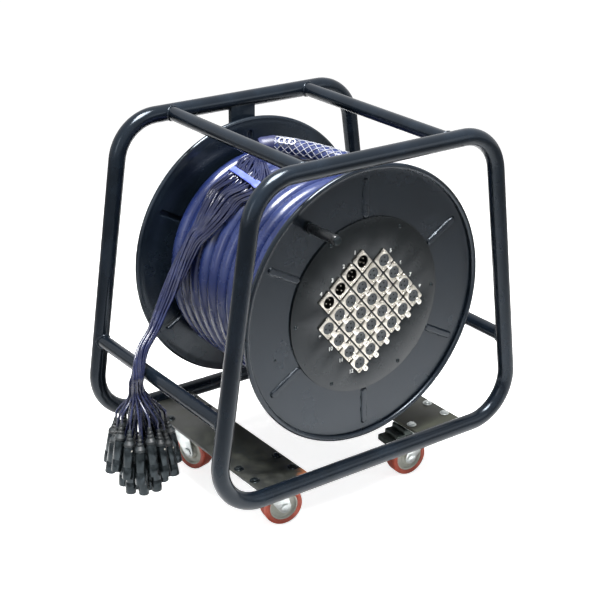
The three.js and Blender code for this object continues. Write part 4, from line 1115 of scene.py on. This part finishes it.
axle_front, foot_back = span_on_axle("stub_axle")
shoulder = axle_front + 17
spun_on_axle("stub_axle", [
    (0, foot_back), (44, foot_back), (45, foot_back - 1), (45, foot_back - 7), (44, foot_back - 8),
    (18, foot_back - 8), (15.4, foot_back - 10), (15, foot_back - 12), (15, shoulder + 1), (14, shoulder),
    (10, shoulder), (10, axle_front + 1), (9, axle_front), (0, axle_front),
], ground_steel, "frame", "ground_steel")
nut_front, nut_back = span_on_axle("axle_nut")
spun_on_axle("axle_nut", [
    (10.3, nut_back), (16, nut_back), (18, nut_back - 1), (18, nut_front + 1), (16, nut_front),
    (10.3, nut_front), (10.3, nut_back),
], zinc_plate, "frame", "zinc", steps=6)
for name in ("front_bearing", "rear_bearing"):
    front, back = span_on_axle(name)
    spun_on_axle(name, [
        (15.3, back), (20, back), (20.6, back - 1.2), (25.4, back - 1.2), (26, back), (30.2, back),
        (31, back - 0.8), (31, front + 0.8), (30.2, front), (26, front), (25.4, front + 1.2),
        (20.6, front + 1.2), (20, front), (15.3, front), (15.3, back),
    ], ground_steel, "drum", "ground_steel")
hub_front, hub_back = span_on_axle("drum_hub")
spun_on_axle("drum_hub", [
    (31.3, hub_front), (35, hub_front), (35, hub_front + 6), (113, hub_front + 6), (113, hub_front + 10),
    (35, hub_front + 10), (35, hub_back - 0.8), (34.2, hub_back), (31.3, hub_back), (31.3, hub_front),
], mill_scale, "drum", "dark_steel")
barrel_front, barrel_back = span_on_axle("drum_barrel")
spun_on_axle("drum_barrel", [
    (114, barrel_front), (116, barrel_front), (116, barrel_back), (114, barrel_back), (114, barrel_front),
], mill_scale, "drum", "dark_steel", steps=96)

# Discs
# Each is pressed from 2 mm sheet steel: six long ribs point at the axle, and the edge is rolled over into
# a bead. They are sprayed in a satin black that shows the light floor as a soft grey.
disc_thickness = 2.0
front_bore = 113.0
rear_bore = 35.6
flat_outer = 230.5
bead_middle = (235.3, 5.6)  # from the axle, and from the disc's inner face
bead_radius = 3.7
bead_turns = range(-110, 195, 19)  # degrees round the bead's middle, from the flat to the rolled-in edge
rib_inner = 152.0
rib_outer = 218.8
rib_half_width = 6.0
rib_flank = 2.4
rib_height = 3.4
rib_count = 6
rib_margin = 4.0  # of finer mesh beyond the ribs' ends
first_rib_angle = 31.25
disc_steps = 360
rib_rings = 24

# Satin paint on sheet steel: even, with a slight orange peel and rubbed spots. Its reflections are tinted
# blue: a painted reflection colour that stands for bluish light round the reel
disc_paint = surface(
    "satin_black_paint", "#0b1118", "#111820", 90, (0.2, 0.3), 2.4, 0.03, tint="#dce7f2",
)


def disc_profile(bore):
    """The middle of the sheet as (radius, height from the disc's inner face)."""
    inner, outer = rib_inner - rib_margin, rib_outer + rib_margin
    ribbed = [inner + (outer - inner) * k / rib_rings for k in range(rib_rings + 1)]
    flat = [bore, (bore + inner) / 2, *ribbed, flat_outer]
    profile = [(radius, disc_thickness / 2) for radius in flat]
    for turn in (math.radians(degrees) for degrees in bead_turns):
        profile.append((
            bead_middle[0] + bead_radius * math.cos(turn), bead_middle[1] + bead_radius * math.sin(turn),
        ))
    return profile


def from_rib(at):
    """How far a place on the disc is from the nearest rib's middle line, in millimetres."""
    nearest = math.inf
    for k in range(rib_count):
        angle = math.radians(first_rib_angle + 360 * k / rib_count)
        outward = Vector((math.cos(angle), math.sin(angle)))
        inner = outward * (rib_inner + rib_half_width)
        reach = min(max((at - inner).dot(outward), 0), rib_outer - rib_inner - 2 * rib_half_width)
        nearest = min(nearest, (at - inner - outward * reach).length)
    return nearest


for name, inner_y, side, bore in (
    ("front_disc", front_disc_y, -1, front_bore), ("rear_disc", rear_disc_y, 1, rear_bore),
):
    bm = spun(disc_profile(bore), disc_steps)
    near_ribs = {
        edge for face in bm.faces for edge in face.edges
        if rib_inner - rib_margin < face.calc_center_median().xy.length / MM < rib_outer + rib_margin
        and from_rib(face.calc_center_median().xy / MM) < rib_half_width + rib_margin / 2
    }
    bmesh.ops.subdivide_edges(bm, edges=list(near_ribs), cuts=3, use_grid_fill=True)
    for vert in bm.verts:
        at = vert.co.xy / MM
        if rib_inner < at.length < rib_outer:
            vert.co.z += rib_height * eased((rib_half_width - from_rib(at)) / rib_flank) * MM
    # Height becomes the way along the axle, and the ribs keep their angles as seen from the front
    turn = Matrix(((1, 0, 0), (0, 0, side), (0, 1, 0))).to_4x4()
    turn.translation = AXLE + Vector((0, inner_y, 0)) * MM
    bmesh.ops.transform(bm, matrix=turn, verts=bm.verts)
    bmesh.ops.recalc_face_normals(bm, faces=bm.faces)
    piece = bm_piece(f"{name}_pressing", bm, [disc_paint], "drum", "disc_paint", [name], smooth=50)
    sheet = piece.modifiers.new("sheet", "SOLIDIFY")
    sheet.thickness = disc_thickness * MM
    sheet.offset = 0

# Two blind rivets hold the peg's plate and the cable's clamp behind the front disc
rivet_circle = 186.0
rivet_angles = (127.5, -163.6)
rivet_shape = shape_of(spun([(0, 1.2), (1.2, 1.1), (2.4, 0.5), (2.7, -0.3), (0, -0.3)], 16))
bm = bmesh.new()
for angle in rivet_angles:
    at = on_drum(angle, rivet_circle, front_disc_y - disc_thickness)
    stamped(bm, rivet_shape, Matrix.Translation(at) @ Matrix.Rotation(math.pi / 2, 4, "X"))
bm_piece("disc_rivets", bm, [black_chrome], "drum", "zinc")

# Winding peg
# A plastic grip that spins on a steel spindle, riveted to the front disc near its edge.
seat_gap = 0.3
seat_y = front_disc_y - disc_thickness - seat_gap  # where what is fixed to the front disc starts
peg_foot = on_drum(126, 198, seat_y)

# Glass-filled nylon: black, with a slight grain and a handled shine
peg_nylon = surface("moulded_black_nylon", "#0e1012", "#191c1f", 15, (0.22, 0.36), 1.0, 0.05, level=0.4)

for name, profile, material, body, slot in (
    ("peg_spindle", [
        (0, 0), (9, 0), (9, 3.8), (8.2, 5), (5, 5), (5, 73), (6.8, 73), (7.2, 73.6), (7, 75.8), (5.6, 77),
        (0, 77),
    ], black_chrome, "drum", "zinc"),
    ("peg_grip", [
        (5.3, 5.3), (7, 5.3), (7.6, 6.2), (8.2, 18), (8.7, 36), (8.6, 44), (8.2, 60), (7.6, 71.8), (7, 72.7),
        (5.3, 72.7), (5.3, 5.3),
    ], peg_nylon, "peg", "peg_black"),
):
    bm = spun(profile, 40)
    bmesh.ops.rotate(bm, verts=bm.verts, cent=(0, 0, 0), matrix=Matrix.Rotation(math.radians(90), 3, "X"))
    bmesh.ops.translate(bm, verts=bm.verts, vec=peg_foot)
    bm_piece(f"{name}_turning", bm, [material], body, slot, [name])

# Stage box
# A round steel panel on the front disc holds 28 three-pole connectors in six slanting rows: sockets with
# a push latch, and four with pins. Each has a nickel-plated flange held by two screws.
panel_radius = 151.0
panel_thickness = 3.0
panel_edge = 0.7
panel_screw_circle = 141.0
panel_screw_count = 6
first_screw_angle = 1.5
grid_turn = math.radians(-50)
place_pitch = 34.3
row_pitch = 29.0
row_places = [(1, 4), (0, 4), (0, 4), (0, 4), (0, 4), (1, 4)]  # a row's first and last; pins stand at 0
middle_place = 2
middle_row = (len(row_places) - 1) / 2
flange_length = 31.0
flange_width = 26.0
flange_thickness = 2.2
flange_corner = 2.0
flange_edge = 0.5
flange_bore = 10.6
flange_screw_inset = (3.6, 3.4)
shell_hole_radius = 12.7
pole_count = 3
pin_circle = 4.9
pin_radius = 1.15
male_depth = 12.0
insert_sink = 1.6  # of a socket's insert under the flange's front
number_height = 9.0
number_clearance = 7.0  # from the flange's edge to the number's middle
number_weight = 0.25
ink_thickness = 0.04
ink_lift = 0.06
seat = AXLE + Vector((0, seat_y, 0)) * MM
upright_box = Matrix.Translation(seat) @ Matrix.Rotation(math.pi / 2, 4, "X")
grid = upright_box @ Matrix.Rotation(grid_turn, 4, "Z")

# Powder coat: dull black with a fine bead. Its reflections are tinted blue: a painted reflection colour that
# stands for bluish light round the reel
panel_coat = surface(
    "black_powder_coat", "#0a0e0f", "#101415", 40, (0.2, 0.3), 0.9, 0.03, level=0.42, tint="#e2eaf2",
)
# Moulded insert: dark grey thermoplastic, matt
insert_plastic = surface("dark_grey_insert", "#3f4448", "#4c5155", 8, (0.45, 0.6), 0.8, 0.02, level=0.4)
# The inside of a socket: black thermoplastic, made near-black as painted shade for the shadow in there. The
# flat discs for the contact holes are painted shade too
socket_painted_shade = surface("black_socket_painted_shade", "#050606", "#0a0b0b", 8, (0.5, 0.6), 0.8, 0.02, level=0.2)
# Screen print: a thin film of white ink
print_ink = surface("white_print", "#e4e6e4", "#cfd2d0", 6, (0.5, 0.6), 0.8, 0.01)


def punched(loops, thickness, edge):
    """A plate with holes and rounded front edges, as a bmesh. loops are meshes of one loop each, the
    outline first, with the loop's middle and its reach from there, in millimetres."""
    bm = bmesh.new()
    backs, fronts = [], []
    for k, (loop, middle, reach) in enumerate(loops):
        way = -1 if k == 0 else 1
        edges = stamped(bm, loop, moved(middle))
        backs += edges
        for rise, inward in ((thickness - edge, 0), (edge * 0.7, edge * 0.3), (edge * 0.3, edge * 0.7)):
            made = bmesh.ops.extrude_edge_only(bm, edges=edges)["geom"]
            verts = {item for item in made if isinstance(item, bmesh.types.BMVert)}
            for vert in verts:
                away = vert.co / MM - middle
                step = Vector((away.x / reach[0], away.y / reach[1], 0)) * way * inward
                vert.co += (step + Vector((0, 0, rise))) * MM
            edges = [
                item for item in made
                if isinstance(item, bmesh.types.BMEdge) and verts.issuperset(item.verts)
            ]
        fronts += edges
    for edges in (backs, fronts):
        bmesh.ops.triangle_fill(bm, use_beauty=True, use_dissolve=False, edges=edges)
    bmesh.ops.recalc_face_normals(bm, faces=bm.faces)
    return bm


def ring_of(radius, segments):
    """A circle's loop, in millimetres, as a mesh with no face."""
    bm = bmesh.new()
    bmesh.ops.create_circle(bm, segments=segments, radius=radius * MM)
    return shape_of(bm)


def in_grid(along, row):
    """A connector's middle in the panel's plane, from its place along its row and the row's number."""
    return Vector(((along - middle_place) * place_pitch, (middle_row - row) * row_pitch, 0))


origin = Vector((0, 0, 0))
panel_loops = [(ring_of(panel_radius, 180), origin, (panel_radius, panel_radius))]
shell_hole = ring_of(shell_hole_radius, 24)
for row, (first, last) in enumerate(row_places):
    for along in range(first, last + 1):
        middle = Matrix.Rotation(grid_turn, 3, "Z") @ in_grid(along, row)
        panel_loops.append((shell_hole, middle, (shell_hole_radius, shell_hole_radius)))
bm = punched(panel_loops, panel_thickness, panel_edge)
bmesh.ops.transform(bm, matrix=upright_box, verts=bm.verts)

panel_screw_shape = shape_of(spun([
    (0, 0.6), (1.2, 0.6), (1.3, 1.7), (2.6, 1.4), (3.4, 0.7), (3.6, 0), (0, 0),
], 20))
for k in range(panel_screw_count):
    turn = math.radians(first_screw_angle + 360 * k / panel_screw_count)
    at = (math.cos(turn) * panel_screw_circle, math.sin(turn) * panel_screw_circle, panel_thickness)
    stamped(bm, panel_screw_shape, upright_box @ moved(at), 1)

# Numbers stand before the pins and beside the first and the last row's sockets
marks = [(row, 0, -1, 0) for row in range(1, 5)]
marks += [(0, along, 0, 1) for along in range(1, 5)]
marks += [(5, along, 0, -1) for along in range(1, 5)]
for number, (row, along, side, up) in enumerate(marks, 1):
    text = bpy.data.curves.new("number", "FONT")
    text.body = str(number)
    text.size = number_height * MM
    text.extrude = ink_thickness * MM
    text.offset = number_weight * MM
    text.align_x = "CENTER"
    text.align_y = "CENTER"
    printed = bpy.data.objects.new("number", text)
    figure = bpy.data.meshes.new_from_object(printed)
    bpy.data.objects.remove(printed)
    reach = Vector((
        side * (flange_length / 2 + number_clearance), up * (flange_width / 2 + number_clearance), 0,
    ))
    at = Matrix.Rotation(grid_turn, 3, "Z") @ (in_grid(along, row) + reach)
    at.z = panel_thickness + ink_lift
    stamped(bm, figure, upright_box @ moved(at), 2)
bm_piece(
    "stage_panel_plate", bm, [panel_coat, black_chrome, print_ink], "drum", "panel_paint", ["stage_panel"],
)

bm = bmesh.new()
bmesh.ops.create_grid(bm, x_segments=1, y_segments=1, size=0.5,
                      matrix=Matrix.Diagonal((flange_length * MM, flange_width * MM, 1, 1)))
rounded(bm, bm.verts[:], flange_corner, segments=4, affect="VERTICES")
bmesh.ops.delete(bm, geom=bm.faces[:], context="FACES_ONLY")
flange_shape = shape_of(punched([
    (shape_of(bm), origin, (flange_length / 2, flange_width / 2)),
    (ring_of(flange_bore, 28), origin, (flange_bore, flange_bore)),
], flange_thickness, flange_edge))
lip_shape = shape_of(spun([
    (10.5, -2.2), (10.5, 0.1), (10.7, 0.35), (11.6, 0.35), (12.0, 0.1), (12.4, -0.6), (12.4, -2.2),
    (10.5, -2.2),
], 28))
shell_shape = shape_of(spun([
    (0, -20), (11, -20), (12, -19), (12, -0.4), (10.6, -0.4), (10.4, -male_depth), (0, -male_depth),
], 24))
socket_shape = shape_of(spun([
    (0, 0.9), (7.4, 0.9), (8.0, 1.2), (8.6, 1.9), (9.7, 1.9), (10.2, 1.3), (10.3, -14), (0, -14),
], 28))
# Flat near-black discs on a socket's insert stand for its contact holes: painted shade
contact_hole_shade_shape = shape_of(spun([(0, 1.0), (1.5, 1.0), (1.5, 0.5), (0, 0.5)], 12))
key_shape = shape_of(spun([(0, 1.5), (1.2, 1.5), (1.5, 1.2), (1.5, 0.6), (0, 0.6)], 10))
pin_shape = shape_of(spun([
    (0, -male_depth), (pin_radius, -male_depth), (pin_radius, -1.8), (0.9, -1.1), (0, -0.9),
], 12))
flange_screw_shape = shape_of(spun([
    (0, 1.1), (0.8, 1.1), (0.9, 1.9), (1.9, 1.6), (2.4, 1.0), (2.5, 0), (0, 0),
], 12))
flange_front = Vector((0, 0, panel_thickness + seat_gap + flange_thickness))
screw_x, screw_y = flange_length / 2 - flange_screw_inset[0], flange_width / 2 - flange_screw_inset[1]
for row, (first, last) in enumerate(row_places):
    bm = bmesh.new()
    for along in range(first, last + 1):
        at = grid @ moved(in_grid(along, row) + flange_front)
        insert = at @ moved((0, 0, -insert_sink))
        stamped(bm, flange_shape, at @ moved((0, 0, -flange_thickness)), 0)
        stamped(bm, lip_shape, at, 0)
        stamped(bm, shell_shape, at, 2)
        if along > 0:
            stamped(bm, socket_shape, insert, 1)
            stamped(bm, key_shape, insert, 1)
        for turn in (2 * math.pi * pole / pole_count for pole in range(pole_count)):
            pole_at = moved(Vector((math.cos(turn), math.sin(turn), 0)) * pin_circle)
            if along > 0:
                stamped(bm, contact_hole_shade_shape, insert @ pole_at, 2)
            else:
                stamped(bm, pin_shape, at @ pole_at, 0)
        for corner in (-1, 1):
            stamped(bm, flange_screw_shape, at @ moved((corner * screw_x, -corner * screw_y, 0)), 0)
    node = f"connector_row_{row + 1}"
    bm_piece(f"{node}_sockets", bm, [bright_nickel, insert_plastic, socket_painted_shade], "drum", "nickel", [node])

# Latches
# A die-cast push tab at the end of each socket lets its plug go. The tabs of a row share one link behind
# the panel, so that they move together.
tab_length = 14.0
tab_width = 9.4
tab_thickness = 3.0
tab_edge = 1.3
tab_overhang = 5.0
tab_back = 7.5
stem_offset = 8.7
stem_length = 2.6
stem_width = 2.8
stem_edge = 0.3
link_depth = 22.0
link_thickness = 2.0

# Polished die-cast zinc: brighter and smoother than the flanges
polished_zinc = surface("polished_zinc", "#dddad2", "#cbc7be", 12, (0.14, 0.24), 2.0, 0.005, metallic=1.0)

tab_end_shape = shape_of(spun([
    (0, tab_thickness), (tab_width / 2 - 1.4, tab_thickness), (tab_width / 2 - 0.4, tab_thickness - 0.4),
    (tab_width / 2, tab_thickness - 1.4), (tab_width / 2, 0), (0, 0),
], 32))
stem_low = Vector((stem_offset - stem_length / 2, -stem_width / 2, -link_depth))
stem_high = Vector((stem_offset + stem_length / 2, stem_width / 2, tab_back + tab_thickness / 2))
link_high = Vector((stem_high.x, stem_high.y, link_thickness - link_depth))
for row, (first, last) in enumerate(row_places):
    bm = bmesh.new()
    sockets = [in_grid(along, row) for along in range(max(first, 1), last + 1)]
    stamped(bm, box_shape(sockets[0] + stem_low, sockets[-1] + link_high, stem_edge), grid)
    for middle in sockets:
        stamped(bm, box_shape(middle + stem_low, middle + stem_high, stem_edge), grid)
        end = middle + Vector((flange_length / 2 + tab_overhang, 0, tab_back))
        low = end - Vector((tab_length, tab_width / 2, 0))
        high = end + Vector((-tab_width / 2, tab_width / 2, tab_thickness))
        stamped(bm, box_shape(low, high, tab_edge, 3), grid)
        stamped(bm, tab_end_shape, grid @ moved(end - Vector((tab_width / 2, 0, 0))))
    node = f"latch_row_{row + 1}"
    bm_piece(f"{node}_tabs", bm, [polished_zinc], f"latches_{row + 1}", "latch_metal", [node])

low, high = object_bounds()
